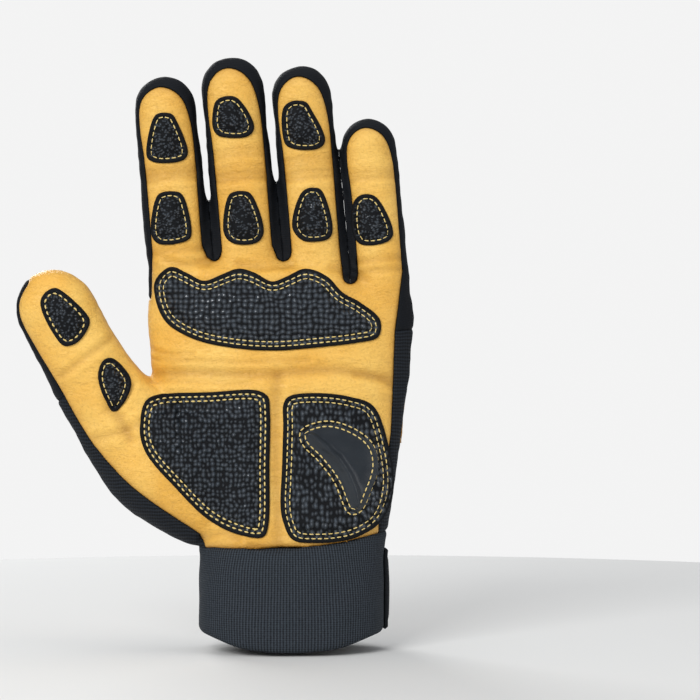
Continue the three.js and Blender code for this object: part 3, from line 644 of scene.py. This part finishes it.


# Goat grain leather, drum dyed: soft, with a fine pebbled grain, faint crosswise wrinkles and a satin
# gloss. Its tone goes from pale to full in soft random patches. Shade is painted into it: darker along its
# seams, in its creases and in the valleys of its fine wrinkles, and a painted shadow line just inside its raw
# edges.
def leather(name, pale, full, deep, gloss):
    material, tree, shader, point = finish(name)
    cloudy = put(tree, "TexNoise", Vector=point, Scale=1 / 24, Detail=3)
    tone = put(tree, "MapRange", Value=cloudy, From_Min=0.35, From_Max=0.65)
    base = put(tree, "MixRGB", Fac=tone, Color1=colour(pale), Color2=colour(full))
    speck = put(tree, "TexNoise", Vector=point, Scale=1 / 1.1, Detail=2)
    specks = put(tree, "MapRange", Value=speck, From_Min=0.5, From_Max=0.75, To_Max=0.22)
    mottled = put(tree, "MixRGB", Fac=specks, Color1=base, Color2=colour(deep))
    squeezed = put(tree, "Mapping", Vector=point, Scale=(0.28, 0.4, 0.62))
    wrinkle = put(tree, "TexNoise", Vector=squeezed, Scale=1, Detail=5, Roughness=0.68, Distortion=1.2)
    # Painted shade: the valleys of the fine wrinkles are painted darker.
    lines = put(tree, "MapRange", Value=wrinkle, From_Min=0.46, From_Max=0.3, To_Max=0.2)
    wrinkle_shaded = put(tree, "MixRGB", Fac=lines, Color1=mottled, Color2=colour(deep))
    # Painted shade: the leather is painted darker along its seams and for a few millimetres beside them.
    seam = put(tree, "Attribute", attribute_name="seam")
    seam_shaded = put(tree, "MixRGB", Fac=seam.outputs["Fac"], Color1=wrinkle_shaded, Color2=colour(deep))
    # Painted shade in the creases: the leather is painted darker where the fold layer marks a crease.
    fold = put(tree, "Attribute", attribute_name="fold")
    creased = put(tree, "Math", operation="MULTIPLY", i0=fold.outputs["Fac"], i1=0.75)
    crease_shaded = put(tree, "MixRGB", Fac=creased, Color1=seam_shaded, Color2=colour(deep))
    cut = put(tree, "Attribute", attribute_name="cut")
    # A painted shadow: a dark brown band up to 2.2 mm inside a raw edge, beside the lifted edge.
    turned = put(tree, "MapRange", Value=cut.outputs["Fac"], From_Min=1.7, From_Max=2.2, To_Min=0.8, To_Max=0)
    edge_shadowed = put(tree, "MixRGB", Fac=turned, Color1=crease_shaded, Color2=colour("5E3A12"))
    fibre = put(tree, "TexNoise", Vector=point, Scale=1 / 0.5, Detail=3)
    fluff = put(tree, "MixRGB", Fac=fibre, Color1=colour("A87A3C"), Color2=colour("E2BE8C"))
    raw = put(tree, "MapRange", Value=cut.outputs["Fac"], From_Min=1.0, From_Max=1.4, To_Min=1, To_Max=0)
    edged = put(tree, "MixRGB", Fac=raw, Color1=edge_shadowed, Color2=fluff)
    pores = put(tree, "TexVoronoi", Vector=point, Scale=1 / 0.85, Randomness=0.9)
    fine = put(tree, "Bump", Height=pores, Strength=0.25, Distance=0.0001)
    bump = put(
        tree, "Bump", Height=wrinkle, Strength=0.7, Distance=0.0009, Normal=fine
    )
    plug(tree, shader, Base_Color=edged, Normal=bump, Roughness=gloss, Specular_IOR_Level=0.4)
    return material


palm_finish = leather("golden_goat_leather", "F6C663", "ECB34A", "9C6A1E", 0.46)
back_finish = leather("ochre_goat_leather", "DFA942", "D0962F", "85560F", 0.6)

raw_edge, tree, shader, point = finish("raw_leather_edge")
fibre = put(tree, "TexNoise", Vector=point, Scale=1 / 0.5, Detail=3)
fluff = put(tree, "MixRGB", Fac=fibre, Color1=colour("B98A4E"), Color2=colour("DDB88A"))
bump = put(tree, "Bump", Height=fibre, Strength=0.8, Distance=0.0003)
plug(tree, shader, Base_Color=fluff, Normal=bump, Roughness=0.9)


# Stretch cloths, warp knitted in black: a plain one beside the fingers and one with crosswise ribs on the
# back. Their ribs are 1.3 and 1.4 mm apart, and each is a row of small loops.
def ribbed(name, lean, dark, light, rib, loop, strength):
    material, tree, shader, point = finish(name)
    turned = put(tree, "Mapping", Vector=point, Rotation=(0, lean, 0))
    axes = put(tree, "SeparateXYZ", Vector=turned)
    waver = put(tree, "TexNoise", Vector=point, Scale=1 / 9, Detail=1)
    drift = put(tree, "Math", operation="MULTIPLY_ADD", i0=waver, i1=1.6, i2=axes.outputs["Z"])
    rows = put(tree, "Math", operation="MULTIPLY", i0=drift, i1=2 * math.pi / rib)
    ribs = put(tree, "Math", operation="SINE", i0=rows)
    columns = put(tree, "Math", operation="MULTIPLY", i0=axes.outputs["X"], i1=2 * math.pi / loop)
    loops = put(tree, "Math", operation="SINE", i0=columns)
    knit = put(tree, "Math", operation="MULTIPLY_ADD", i0=loops, i1=0.45, i2=ribs)
    height = put(tree, "MapRange", Value=knit, From_Min=-1.4, From_Max=1.4)
    # Painted highlight and shade: the tops of the ribs and loops are painted lighter and the hollows darker.
    lit = put(tree, "MixRGB", Fac=height, Color1=colour(dark), Color2=colour(light))
    bump = put(tree, "Bump", Height=height, Strength=strength, Distance=0.0003)
    plug(tree, shader, Base_Color=lit, Normal=bump, Roughness=0.75, Specular_IOR_Level=0.18)
    return material


finger_cloth = ribbed("ribbed_stretch_cloth", -FINGER_LEAN, "07090C", "23282F", 1.3, 0.9, 0.9)
hand_cloth = ribbed("ribbed_back_cloth", 0, "07090C", "23282F", 1.4, 1.0, 0.9)
side_cloth = ribbed("smooth_stretch_cloth", -FINGER_LEAN, "080B0F", "10141A", 0.7, 0.6, 0.3)
lining = ribbed("fleece_lining", 0, "15181C", "24282D", 1.6, 1.6, 0.5)


# Panels. Each is one layer, cut with its edges and sewn to its neighbours: a turned seam rolls in, and a
# raw edge lies on top of the cloth beside it.
FAR = 99.0  # stands for no border near by


def edge_distance(bm, lines=(), on_lines=False):
    """How far each vertex is from the panel's border, only where the border runs on the lines or off them."""
    border = [v.co for v in bm.verts if v.is_boundary]
    if lines:
        seen = np.array([(c.x, c.z) for c in border])
        away = np.min([to_line(seen, np.array(line)) for line in lines], axis=0)
        border = [c for c, d in zip(border, away) if (d < 0.7) == on_lines]
    if not border:
        return np.full(len(bm.verts), FAR)
    tree = KDTree(len(border))
    for i, c in enumerate(border):
        tree.insert(c, i)
    tree.balance()
    return np.array([tree.find(v.co)[2] for v in bm.verts])


def make_piece(name, bm, finishes, nodes=()):
    """An object from a mesh in millimetres, riding on the glove."""
    bmesh.ops.scale(bm, vec=(0.001, 0.001, 0.001), verts=bm.verts)
    mesh = bpy.data.meshes.new(name)
    bm.to_mesh(mesh)
    bm.free()
    mesh.shade_smooth()
    for made in finishes:
        mesh.materials.append(made)
    piece = bpy.data.objects.new(name, mesh)
    bpy.context.scene.collection.objects.link(piece)
    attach(piece, "root")
    if nodes:
        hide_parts(*nodes)
    return piece


surfaces = {}


def sew_panel(name, finishes, roll=0.9, width=1.8, lift=0.0, raw=(), thick=1.2):
    """Rolls the seams in, lifts the raw edges, and gives the panel its thickness."""
    bm = panels[name]
    seam_away = edge_distance(bm, raw, False)
    raw_away = edge_distance(bm, raw, True) if raw else np.full(len(bm.verts), FAR)
    seam = bm.verts.layers.float.new("seam")
    cut = bm.verts.layers.float.new("cut")
    for v, s, r in zip(bm.verts, seam_away, raw_away):
        turn = max(0, 1 - s / width)
        rise = lift * min(1, max(0, 1 - (r - 4) / 4)) if raw else 0
        v.co += v.normal * (rise - roll * turn**2)
        # The seam layer is the painted shade mask: it marks how much darker the leather is painted near its
        # borders.
        v[seam] = 0.7 * math.exp(-s / 1.0) + 0.3 * math.exp(-s / 5)
        v[cut] = r
    surfaces[name] = BVHTree.FromBMesh(bm)
    piece = make_piece("sewn_" + name, bm, [*finishes, lining], [name])
    solid = piece.modifiers.new("thickness", "SOLIDIFY")
    solid.thickness = thick / 1000
    solid.offset = -1
    solid.material_offset = len(finishes)
    solid.material_offset_rim = len(finishes) - 1


yoke_raw = [yoke_arch, *(tab_line(f) for f in FINGERS)]
leaf_raw = [[on_palm(*LEAF_POINT), *leaf_edge[:18]]]
sew_panel("palm_leather", [palm_finish])
sew_panel("thumb_back", [back_finish, raw_edge], lift=0.5, raw=leaf_raw)
sew_panel("knuckle_yoke", [back_finish, raw_edge], lift=0.5, raw=yoke_raw)
for f in FINGERS:
    name = f["name"]
    if f["cap"]:
        sew_panel(name + "_cap", [back_finish, raw_edge], lift=0.5, raw=[cap_line(f)])
        sew_panel(name + "_back", [finger_cloth], roll=0.6, raw=[cap_line(f), tab_line(f)])
    else:
        sew_panel(name + "_back", [finger_cloth], roll=0.6, raw=[tab_line(f)])
    sew_panel(name + "_side", [side_cloth], roll=0.5)
sew_panel("thumb_side", [side_cloth], roll=0.5)
sew_panel("hand_back", [hand_cloth], roll=0.6, raw=[yoke_arch, leaf_raw[0]])

# Cuff. Elastic knit with fine lengthwise wales, folded double at the hem and sewn to the palm and the back.
cuff_cloth, tree, shader, point = finish("elastic_knit")
round_way = put(tree, "Attribute", attribute_name="around")
up_way = put(tree, "SeparateXYZ", Vector=point)
wale = put(tree, "Math", operation="MULTIPLY", i0=round_way.outputs["Fac"], i1=2 * math.pi / 1.05)
wales = put(tree, "Math", operation="SINE", i0=wale)
course = put(tree, "Math", operation="MULTIPLY", i0=up_way.outputs["Z"], i1=2 * math.pi / 0.9)
courses = put(tree, "Math", operation="SINE", i0=course)
knit = put(tree, "Math", operation="MULTIPLY_ADD", i0=courses, i1=0.5, i2=wales)
fuzz = put(tree, "TexNoise", Vector=point, Scale=1 / 0.8, Detail=2)
height = put(tree, "Math", operation="MULTIPLY_ADD", i0=fuzz, i1=1.6, i2=knit)
level = put(tree, "MapRange", Value=height, From_Min=-0.9, From_Max=2.4)
# The tops of the wales and courses are painted lighter and the hollows darker, as painted highlight and shade;
# the fuzz noise in the level adds lighter speckles of the yarn itself.
lit = put(tree, "MixRGB", Fac=level, Color1=colour("090B0E"), Color2=colour("3D444C"))
bump = put(tree, "Bump", Height=level, Strength=0.9, Distance=0.0003)
plug(tree, shader, Base_Color=lit, Normal=bump, Roughness=0.85, Specular_IOR_Level=0.18)

bm = panels["cuff"]
around = bm.verts.layers.float.new("around")
girth = math.pi * (CUFF_WIDTH + CUFF_DEPTH) / 2
for v in bm.verts:
    v[around] = girth * (0.5 + math.atan2(v.co.y / CUFF_DEPTH, v.co.x / CUFF_WIDTH) / (2 * math.pi))
sew_panel("cuff", [cuff_cloth], roll=1.0, width=2.2, thick=2.4)

# Pads. Foam under pebbled synthetic leather, cut with a flat border and sewn on through it: the big ones
# with two rows of thread and the small ones with one.
PALM_PADS = {
    "knuckle_pad": [
        (-0.81, 0.975), (-0.92, 0.93), (-0.93, 0.87), (-0.86, 0.785), (-0.66, 0.725), (-0.37, 0.693),
        (-0.05, 0.683), (0.28, 0.695), (0.56, 0.71), (0.72, 0.73), (0.74, 0.79), (0.6, 0.85), (0.47, 0.885),
        (0.36, 0.94), (0.2, 0.965), (0.06, 0.94), (-0.047, 0.923), (-0.17, 0.95), (-0.3, 0.965),
        (-0.43, 0.945), (-0.56, 0.926), (-0.69, 0.955),
    ],
    "thenar_pad": [
        (-1.03, 0.51), (-0.92, 0.53), (-0.56, 0.539), (-0.19, 0.545), (-0.12, 0.525), (-0.11, 0.47),
        (-0.13, 0.29), (-0.16, 0.07), (-0.19, 0.04), (-0.25, 0.035), (-0.41, 0.052), (-0.6, 0.096),
        (-0.85, 0.216), (-1.05, 0.335), (-1.08, 0.42),
    ],
    "hypothenar_pad": [
        (0.04, 0.525), (0.25, 0.536), (0.5, 0.522), (0.66, 0.49), (0.76, 0.35), (0.78, 0.22), (0.74, 0.14),
        (0.66, 0.08), (0.47, 0.032), (0.2, 0.018), (0.02, 0.03), (-0.04, 0.09), (-0.055, 0.14),
        (-0.035, 0.26), (-0.01, 0.42), (0.0, 0.5),
    ],
}
# The small pads' corners, in millimetres from the middle of the hem.
SMALL_PADS = {
    "index_tip_pad": [
        (-55.4, 217.4), (-53.3, 218.7), (-48.5, 218.3), (-46.8, 216), (-42.3, 202.9), (-43.7, 199.9),
        (-54.5, 198.6), (-58.4, 200.9),
    ],
    "index_base_pad": [
        (-54.4, 185), (-52.1, 186.6), (-45.8, 186.6), (-43.9, 184.9), (-40.7, 169.5), (-42.2, 166.9),
        (-53.7, 165.6), (-56.7, 169.5),
    ],
    "middle_tip_pad": [
        (-30.3, 223.5), (-27.6, 225.3), (-21.9, 224.9), (-15.2, 213.4), (-17.2, 209.5), (-24.4, 208.6),
        (-29.6, 209.9), (-31.5, 213.2), (-31.5, 219),
    ],
    "middle_base_pad": [
        (-25.3, 185), (-23.2, 186.7), (-17.6, 186.7), (-15.6, 184.8), (-11.3, 170.3), (-13.9, 166.1),
        (-23.4, 165.8), (-27, 170),
    ],
    "ring_tip_pad": [
        (-2.7, 220.9), (0.3, 223.5), (6.2, 223.2), (8.2, 220.4), (13.7, 208.3), (12.1, 204.9), (4.6, 203.7),
        (-1.3, 205.6), (-3, 210.8),
    ],
    "ring_base_pad": [
        (4.1, 185.8), (6.9, 188.2), (11.6, 188), (13.5, 185.4), (16.8, 171.3), (15.4, 167.7), (11.2, 166.5),
        (5, 167), (1, 172.2),
    ],
    "little_base_pad": [
        (26, 182.6), (29, 185.6), (33.7, 185.4), (36.6, 182.5), (41.2, 172.2), (41.2, 168.2), (38.4, 165.9),
        (29, 165.3), (26, 169.6),
    ],
    "thumb_tip_pad": [
        (-100.7, 140.9), (-99.1, 144.9), (-95.6, 147), (-93, 146.4), (-81.6, 134.8), (-82, 130.8),
        (-86.1, 125.3), (-91, 123.9), (-94.2, 126.7),
    ],
    "thumb_base_pad": [
        (-76.2, 117.6), (-73.9, 119), (-71.5, 118.2), (-65.4, 110.5), (-65.6, 105.8), (-69.9, 97.7),
        (-72.5, 97.2), (-74.3, 100), (-78, 111.3),
    ],
}
outlines = {name: curve([on_palm(*p) for p in points], 160, True) for name, points in PALM_PADS.items()}
outlines.update({name: curve(points, 72, True) for name, points in SMALL_PADS.items()})
THENAR_CREASE = curve([(-46.3, 100), (-46, 92), (-45, 81)], 8)


def pebbled(name, across, along, loose):
    """Pebbled synthetic leather: glossy bumps on a dull ground, flat and dull on the sewn border."""
    material, tree, shader, point = finish(name)
    bent = put(tree, "TexNoise", Vector=point, Scale=1 / 7, Detail=1)
    shifted = put(
        tree, "VectorMath", operation="MULTIPLY_ADD", i0=bent.outputs["Color"], i1=(2.2, 0, 2.2), i2=point
    )
    spaced = put(tree, "Mapping", Vector=shifted, Scale=(1 / across, 0.0, 1 / along))
    cells = put(
        tree, "TexVoronoi", feature="SMOOTH_F1", Vector=spaced, Scale=1, Randomness=loose, Smoothness=0.15
    )
    bumps = put(tree, "MapRange", Value=cells, From_Min=0.16, From_Max=0.6, To_Min=1, To_Max=0)
    inset = put(tree, "Attribute", attribute_name="inset")
    padded = put(tree, "MapRange", Value=inset.outputs["Fac"], From_Min=1.2, From_Max=2.2)
    height = put(tree, "Math", operation="MULTIPLY", i0=bumps, i1=padded)
    # Painted highlight and shade: the bump tops are painted lighter and the ground between them and the border
    # darker.
    lit = put(tree, "MixRGB", Fac=height, Color1=colour("0B0D10"), Color2=colour("424A53"))
    gloss = put(tree, "MapRange", Value=height, To_Min=0.7, To_Max=0.27)
    shine = put(tree, "MapRange", Value=height, To_Min=0.15, To_Max=0.75)
    grain = put(tree, "TexNoise", Vector=point, Scale=1 / 0.45, Detail=2)
    rough = put(tree, "Bump", Height=grain, Strength=0.4, Distance=0.00015)
    bump = put(tree, "Bump", Height=height, Strength=1, Distance=0.0013, Normal=rough)
    plug(tree, shader, Base_Color=lit, Roughness=gloss, Specular_IOR_Level=shine, Normal=bump)
    return material


knuckle_skin = pebbled("dotted_pad_cover", 2.2, 2.1, 0.3)
thenar_skin = pebbled("basket_pad_cover", 1.8, 2.0, 0.45)
heel_skin = pebbled("rice_pad_cover", 1.9, 2.7, 0.5)
small_skin = pebbled("pebbled_pad_cover", 1.3, 1.1, 0.9)


def smooth_step(x, low, high):
    t = min(max((x - low) / (high - low), 0), 1)
    return t * t * (3 - 2 * t)


def pad_height(inset, rows, middle):
    """The border is thin, each row of thread draws it down, and the foam stands up inside the last row."""
    border = 0.95 * smooth_step(inset, -0.6, 0.7)
    drawn = sum(0.4 * math.exp(-(((inset - row) / 0.55) ** 2)) for row in rows)
    swell = (middle - 0.95) * smooth_step(inset, rows[-1], rows[-1] + 4.5)
    return border - drawn + swell


def stuff(bm, base, height_at):
    """A closed layer over a patch of skin, whose top follows height_at from the distance to its border."""
    away = edge_distance(bm)
    bm.normal_update()
    inset = bm.verts.layers.float.new("inset")
    upper = bm.verts.layers.float.new("upper")
    outward = bm.verts.layers.float_vector.new("outward")
    for v, d in zip(bm.verts, away):
        v[inset] = d
        v[outward] = v.normal
    bottom = set(bm.faces)
    raised = bmesh.ops.extrude_face_region(bm, geom=bm.faces[:])["geom"]
    for v in raised:
        if isinstance(v, bmesh.types.BMVert):
            v[upper] = 1
    top = [face for face in bm.faces if face not in bottom and all(v[upper] == 1 for v in face.verts)]
    edges = list(dict.fromkeys(e for face in top for e in face.edges))
    bmesh.ops.subdivide_edges(bm, edges=edges, cuts=1, use_grid_fill=True)
    for v in bm.verts:
        rise = base + (height_at(v[inset], v.co) if v[upper] > 0.5 else 0)
        v.co += v[outward].normalized() * rise
    bmesh.ops.recalc_face_normals(bm, faces=bm.faces)
    return bm


def moved(line, distance, closed=False):
    """A line moved to its left, or a closed line moved inwards."""
    along = np.roll(line, -1, axis=0) - np.roll(line, 1, axis=0) if closed else np.gradient(line, axis=0)
    along /= np.hypot(along[:, 0], along[:, 1])[:, None]
    after = np.roll(line, -1, axis=0)
    area = np.sum(line[:, 0] * after[:, 1] - line[:, 1] * after[:, 0]) if closed else 1
    return line + distance * np.sign(area) * np.column_stack([-along[:, 1], along[:, 0]])


def evenly(line, pitch, closed=False):
    """Points a pitch apart along a line."""
    line = np.vstack([line, line[:1]]) if closed else np.array(line)
    run = np.append(0, np.cumsum(np.hypot(*np.diff(line, axis=0).T)))
    count = max(2, round(run[-1] / pitch))
    places = np.linspace(0, run[-1], count + 1)[: count + (not closed)]
    return np.column_stack([np.interp(places, run, line[:, k]) for k in (0, 1)]), run[-1] / count


# Threads. A stitch is a short round run of thread that dips into the material at both ends.
def threads(name, hex_pale, hex_deep):
    material, tree, shader, point = finish(name)
    twist = put(tree, "TexNoise", Vector=point, Scale=1 / 0.7, Detail=2)
    tone = put(tree, "MixRGB", Fac=twist, Color1=colour(hex_deep), Color2=colour(hex_pale))
    strands = put(tree, "TexNoise", Vector=point, Scale=1 / 0.25, Detail=1)
    bump = put(tree, "Bump", Height=strands, Strength=0.6, Distance=0.0001)
    plug(tree, shader, Base_Color=tone, Normal=bump, Roughness=0.55, Sheen_Weight=0.2)
    return material


yellow_thread = threads("yellow_polyester_thread", "F3E09A", "C9A545")
ochre_thread = threads("ochre_polyester_thread", "A06A20", "6E4512")
black_thread = threads("black_polyester_thread", "2A2D31", "121417")
STITCH_SIDES, RAY_START = 7, 120


def add_stitches(bm, line, surface, way, closed=False, pitch=2.6, length=1.85, thick=0.7):
    """A row of stitches on a surface, seen from the front for way -1 and from the back for way 1."""
    places, step = evenly(line, pitch, closed)
    stitch = bmesh.new()
    bmesh.ops.create_uvsphere(stitch, u_segments=STITCH_SIDES, v_segments=6, radius=0.5)
    for v in stitch.verts:
        v.co = (v.co.x * thick, v.co.y * thick - 0.35 * thick * (2 * v.co.z) ** 2, v.co.z * length)
    one = bpy.data.meshes.new("stitch")
    stitch.to_mesh(one)
    stitch.free()
    for i, place in enumerate(places if closed else places[:-1]):
        following = places[(i + 1) % len(places)]
        run = (following - place) / max(np.hypot(*(following - place)), 1e-6)
        ends = []
        for p in (place, place + run * step * 0.8):
            hit, out, _, _ = surface.ray_cast(Vector((p[0], way * RAY_START, p[1])), Vector((0, -way, 0)))
            ends.append((hit, out))
        if any(hit is None for hit, _ in ends):
            continue
        (a, out_a), (b, out_b) = ends
        if (b - a).length > 2 * step:
            continue
        along = (b - a).normalized()
        up = out_a + out_b
        up = (up - along * up.dot(along)).normalized()
        across = up.cross(along)
        turn = Matrix((across, up, along)).transposed().to_4x4()
        where = Matrix.Translation((a + b) / 2 + up * thick * 0.25) @ turn
        one.transform(where)
        bm.from_mesh(one)
        one.transform(where.inverted())
    bpy.data.meshes.remove(one)


front_skin = skin.copy()
bmesh.ops.delete(front_skin, geom=[face for face in front_skin.faces if face.normal.y > 0.4], context="FACES")
insert_skin = front_skin.copy()
for number, name in enumerate(outlines, 1):
    mark(front_skin, pattern(outlines[name], FRONT), number)
big_covers = {"knuckle_pad": knuckle_skin, "thenar_pad": thenar_skin, "hypothenar_pad": heel_skin}
for number, name in enumerate(outlines, 1):
    big = name in PALM_PADS
    stitch_rows = (1.8, 3.6) if big else (1.8,)
    cover = big_covers.get(name, small_skin)
    bm = stuff(
        cut_out(front_skin, number),
        0.3,
        lambda inset, at: pad_height(inset, stitch_rows, 2.4)
        + 0.25 * noise.noise(at / 6) * smooth_step(inset, 3, 7)
        - 0.9 * math.exp(-((to_line(np.array([(at.x, at.z)]), THENAR_CREASE)[0] / 1.2) ** 2)),
    )
    surface = surfaces[name] = BVHTree.FromBMesh(bm)
    pad = make_piece("stuffed_" + name, bm, [cover], [name])
    rows = bmesh.new()
    for row in stitch_rows:
        add_stitches(rows, moved(outlines[name], row, True), surface, FRONT, closed=True)
    make_piece("stitches_" + name, rows, [yellow_thread])

# Heel insert. A smooth moulded patch lies on the heel pad, with a glossy welt along its inner edge and two
# rows of thread round it.
INSERT = [
    (0.13, 0.4), (0.3, 0.43), (0.48, 0.41), (0.63, 0.355), (0.66, 0.28), (0.59, 0.19), (0.52, 0.13),
    (0.46, 0.125), (0.42, 0.165), (0.37, 0.23), (0.25, 0.31), (0.14, 0.365),
]
WELT = [(0.17, 0.395), (0.278, 0.352), (0.381, 0.301), (0.449, 0.242), (0.48, 0.19), (0.487, 0.144)]
insert_outline = curve([on_palm(*p) for p in INSERT], 90, True)
welt_line = curve([on_palm(*p) for p in WELT], 24)
mark(insert_skin, pattern(insert_outline, FRONT), 1)


def insert_height(inset, at):
    away = to_line(np.array([(at.x, at.z)]), welt_line)[0]
    ridge = 2.2 * math.exp(-((away / 1.7) ** 2)) * smooth_step(inset, 0, 2.5)
    return 0.9 * smooth_step(inset, -0.6, 0.8) + 0.3 * smooth_step(inset, 1, 6) + ridge


bm = stuff(cut_out(insert_skin, 1), 2.55, insert_height)
surface = BVHTree.FromBMesh(bm)
moulded, tree, shader, point = finish("matt_moulded_rubber")
faint = put(tree, "TexNoise", Vector=point, Scale=1 / 9, Detail=3)
tone = put(tree, "MixRGB", Fac=faint, Color1=colour("1E2227"), Color2=colour("2B3137"))
skin_grain = put(tree, "TexNoise", Vector=point, Scale=1 / 0.4, Detail=2)
bump = put(tree, "Bump", Height=skin_grain, Strength=0.3, Distance=0.0001)
plug(tree, shader, Base_Color=tone, Normal=bump, Roughness=0.28, Specular_IOR_Level=0.35)
make_piece("moulded_heel_insert", bm, [moulded], ["heel_insert"])
rows = bmesh.new()
add_stitches(rows, moved(insert_outline, 1.0, True), surface, FRONT, closed=True)
add_stitches(rows, moved(insert_outline, -1.1, True), surfaces["hypothenar_pad"], FRONT, closed=True)
make_piece("stitches_heel_insert", rows, [yellow_thread])

# Closure. A strap of loop cloth is sewn on at the little finger's side and closes over the cuff's back; a
# bare moulded plate is sewn on it.
STRAP_REACH, PLATE_REACH, ABOVE_CUFF = 55, 48, 60
STRAP = [
    (-0.12, 0.95), (0.28, 0.86), (0.57, 0.835), (0.8, 0.775), (0.93, 0.66), (1.0, 0.48), (0.98, 0.3),
    (0.88, 0.14), (0.7, 0.07), (0.4, 0.09), (-0.12, 0.26),
]
PLATE = [
    (0.1, 0.77), (0.35, 0.735), (0.72, 0.66), (0.92, 0.57), (1.0, 0.44), (0.93, 0.3), (0.78, 0.2),
    (0.45, 0.17), (0.15, 0.24), (0.06, 0.34), (0.04, 0.6),
]
strap_outline = curve([(CUFF_WIDTH / 2 - a * STRAP_REACH, up * CUFF_HEIGHT) for a, up in STRAP], 110, True)
plate_outline = curve([(CUFF_WIDTH / 2 - a * PLATE_REACH, up * CUFF_HEIGHT) for a, up in PLATE], 110, True)
back_skin = skin.copy()
above_cuff = [face for face in back_skin.faces if face.calc_center_median().z > ABOVE_CUFF]
bmesh.ops.delete(back_skin, geom=above_cuff, context="FACES")
plate_skin = back_skin.copy()
mark(back_skin, pattern(strap_outline, BACK), 1)
mark(plate_skin, pattern(plate_outline, BACK), 1)

loop_cloth, tree, shader, point = finish("brushed_loop_cloth")
pile = put(tree, "TexNoise", Vector=point, Scale=1 / 0.6, Detail=3)
tone = put(tree, "MixRGB", Fac=pile, Color1=colour("0A0C0E"), Color2=colour("23272B"))
bump = put(tree, "Bump", Height=pile, Strength=0.8, Distance=0.0004)
plug(tree, shader, Base_Color=tone, Normal=bump, Roughness=0.9, Specular_IOR_Level=0.15, Sheen_Weight=0.04)


def strap_height(inset, at):
    return pad_height(inset, (2.2,), 2.0) + 0.6 * smooth_step(inset, 0, 1)


def plate_height(inset, at):
    return 1.3 * smooth_step(inset, -0.8, 1.2) - 0.25 * smooth_step(inset, 1.6, 2.4)


bm = stuff(cut_out(back_skin, 1), 0.3, strap_height)
surface = BVHTree.FromBMesh(bm)
make_piece("sewn_closure_strap", bm, [loop_cloth], ["closure_strap"])
rows = bmesh.new()
add_stitches(rows, moved(strap_outline, 2.2, True), surface, BACK, closed=True)
make_piece("stitches_closure_strap", rows, [black_thread])
bm = stuff(cut_out(plate_skin, 1), 2.75, plate_height)
make_piece("moulded_strap_plate", bm, [moulded], ["strap_plate"])

# Topstitching on the back: two rows below the raw top of each knuckle tab, one along the arch and the caps,
# and two along the thumb's outer edge, in thread of the leather's colour.
for name, lines in {
    "knuckle_yoke": [
        *(moved(np.array(tab_line(f)), -low) for f in FINGERS for low in (2.4, 4.4)),
        moved(yoke_arch, -3.4),
    ],
    "thumb_back": [moved(leaf_edge, -low)[3:-9] for low in (2.2, 4.2)],
    "index_cap": [moved(np.array(cap_line(INDEX)), 3)],
    "middle_cap": [moved(np.array(cap_line(MIDDLE)), 3)],
    "ring_cap": [moved(np.array(cap_line(RING)), 3)],
}.items():
    rows = bmesh.new()
    for line in lines:
        add_stitches(rows, line, surfaces[name], BACK, pitch=2.3, length=1.7, thick=0.6)
    make_piece("stitches_" + name, rows, [ochre_thread])
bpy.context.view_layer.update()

# The stage: a plain pale floor just under the hem, soft light from windows on three sides, and a camera
# that looks straight at the palm.
FLOOR_Z = -0.0015
bm = bmesh.new()
bmesh.ops.create_circle(bm, cap_ends=True, segments=96, radius=0.5)
bmesh.ops.translate(bm, vec=(0, 0, FLOOR_Z), verts=bm.verts)
mesh = bpy.data.meshes.new("floor")
bm.to_mesh(mesh)
floor = bpy.data.objects.new("floor", mesh)
bpy.context.scene.collection.objects.link(floor)
pale, tree, shader, _ = finish("pale_paper")
plug(tree, shader, Base_Color=colour("DCDCDA"), Roughness=0.95)
mesh.materials.append(pale)

LIGHTS = [
    {"name": "front_window", "at": (-0.55, -1.25, 0.75), "size": 0.7, "power": 17},
    {"name": "right_window", "at": (1.3, -0.5, 0.4), "size": 0.8, "power": 3},
    {"name": "back_window", "at": (-0.6, 1.3, 0.75), "size": 0.7, "power": 12},
    {"name": "sky", "at": (0, 0, 1.6), "size": 1.2, "power": 5},
]
middle = Vector((-0.03, 0, 0.12))
for made in LIGHTS:
    light = bpy.data.lights.new(made["name"], "AREA")
    light.energy, light.size = made["power"], made["size"]
    lamp = bpy.data.objects.new(made["name"], light)
    lamp.location = made["at"]
    lamp.rotation_euler = (middle - Vector(made["at"])).to_track_quat("-Z", "Y").to_euler()
    bpy.context.scene.collection.objects.link(lamp)
world = bpy.data.worlds.new("studio")
world.use_nodes = True
seen = put(world.node_tree, "LightPath").outputs["Is Camera Ray"]
sky = put(world.node_tree, "MixRGB", Fac=seen, Color1=(0.36, 0.37, 0.39, 1), Color2=(0.9, 0.9, 0.9, 1))
world.node_tree.links.new(sky.outputs[0], world.node_tree.nodes["Background"].inputs["Color"])
bpy.context.scene.world = world
bpy.context.scene.view_settings.view_transform = "Standard"

# One pixel of the 700 x 700 photograph is 0.41 mm on the glove.
PIXEL, LENS, SENSOR = 0.00041, 0.135, 0.036
PICTURE_MIDDLE, GLOVE_ACROSS, HEM_DOWN = 350, 291, 648
camera = bpy.data.cameras.new("camera")
camera.lens, camera.sensor_width = LENS * 1000, SENSOR * 1000
view = bpy.data.objects.new("camera", camera)
view.location = (
    (PICTURE_MIDDLE - GLOVE_ACROSS) * PIXEL,
    -(PICTURE_MIDDLE * PIXEL) * LENS / (SENSOR / 2) - 0.008,
    (HEM_DOWN - PICTURE_MIDDLE) * PIXEL,
)
view.rotation_euler = (math.radians(90), 0, 0)
bpy.context.scene.collection.objects.link(view)
bpy.context.scene.camera = view
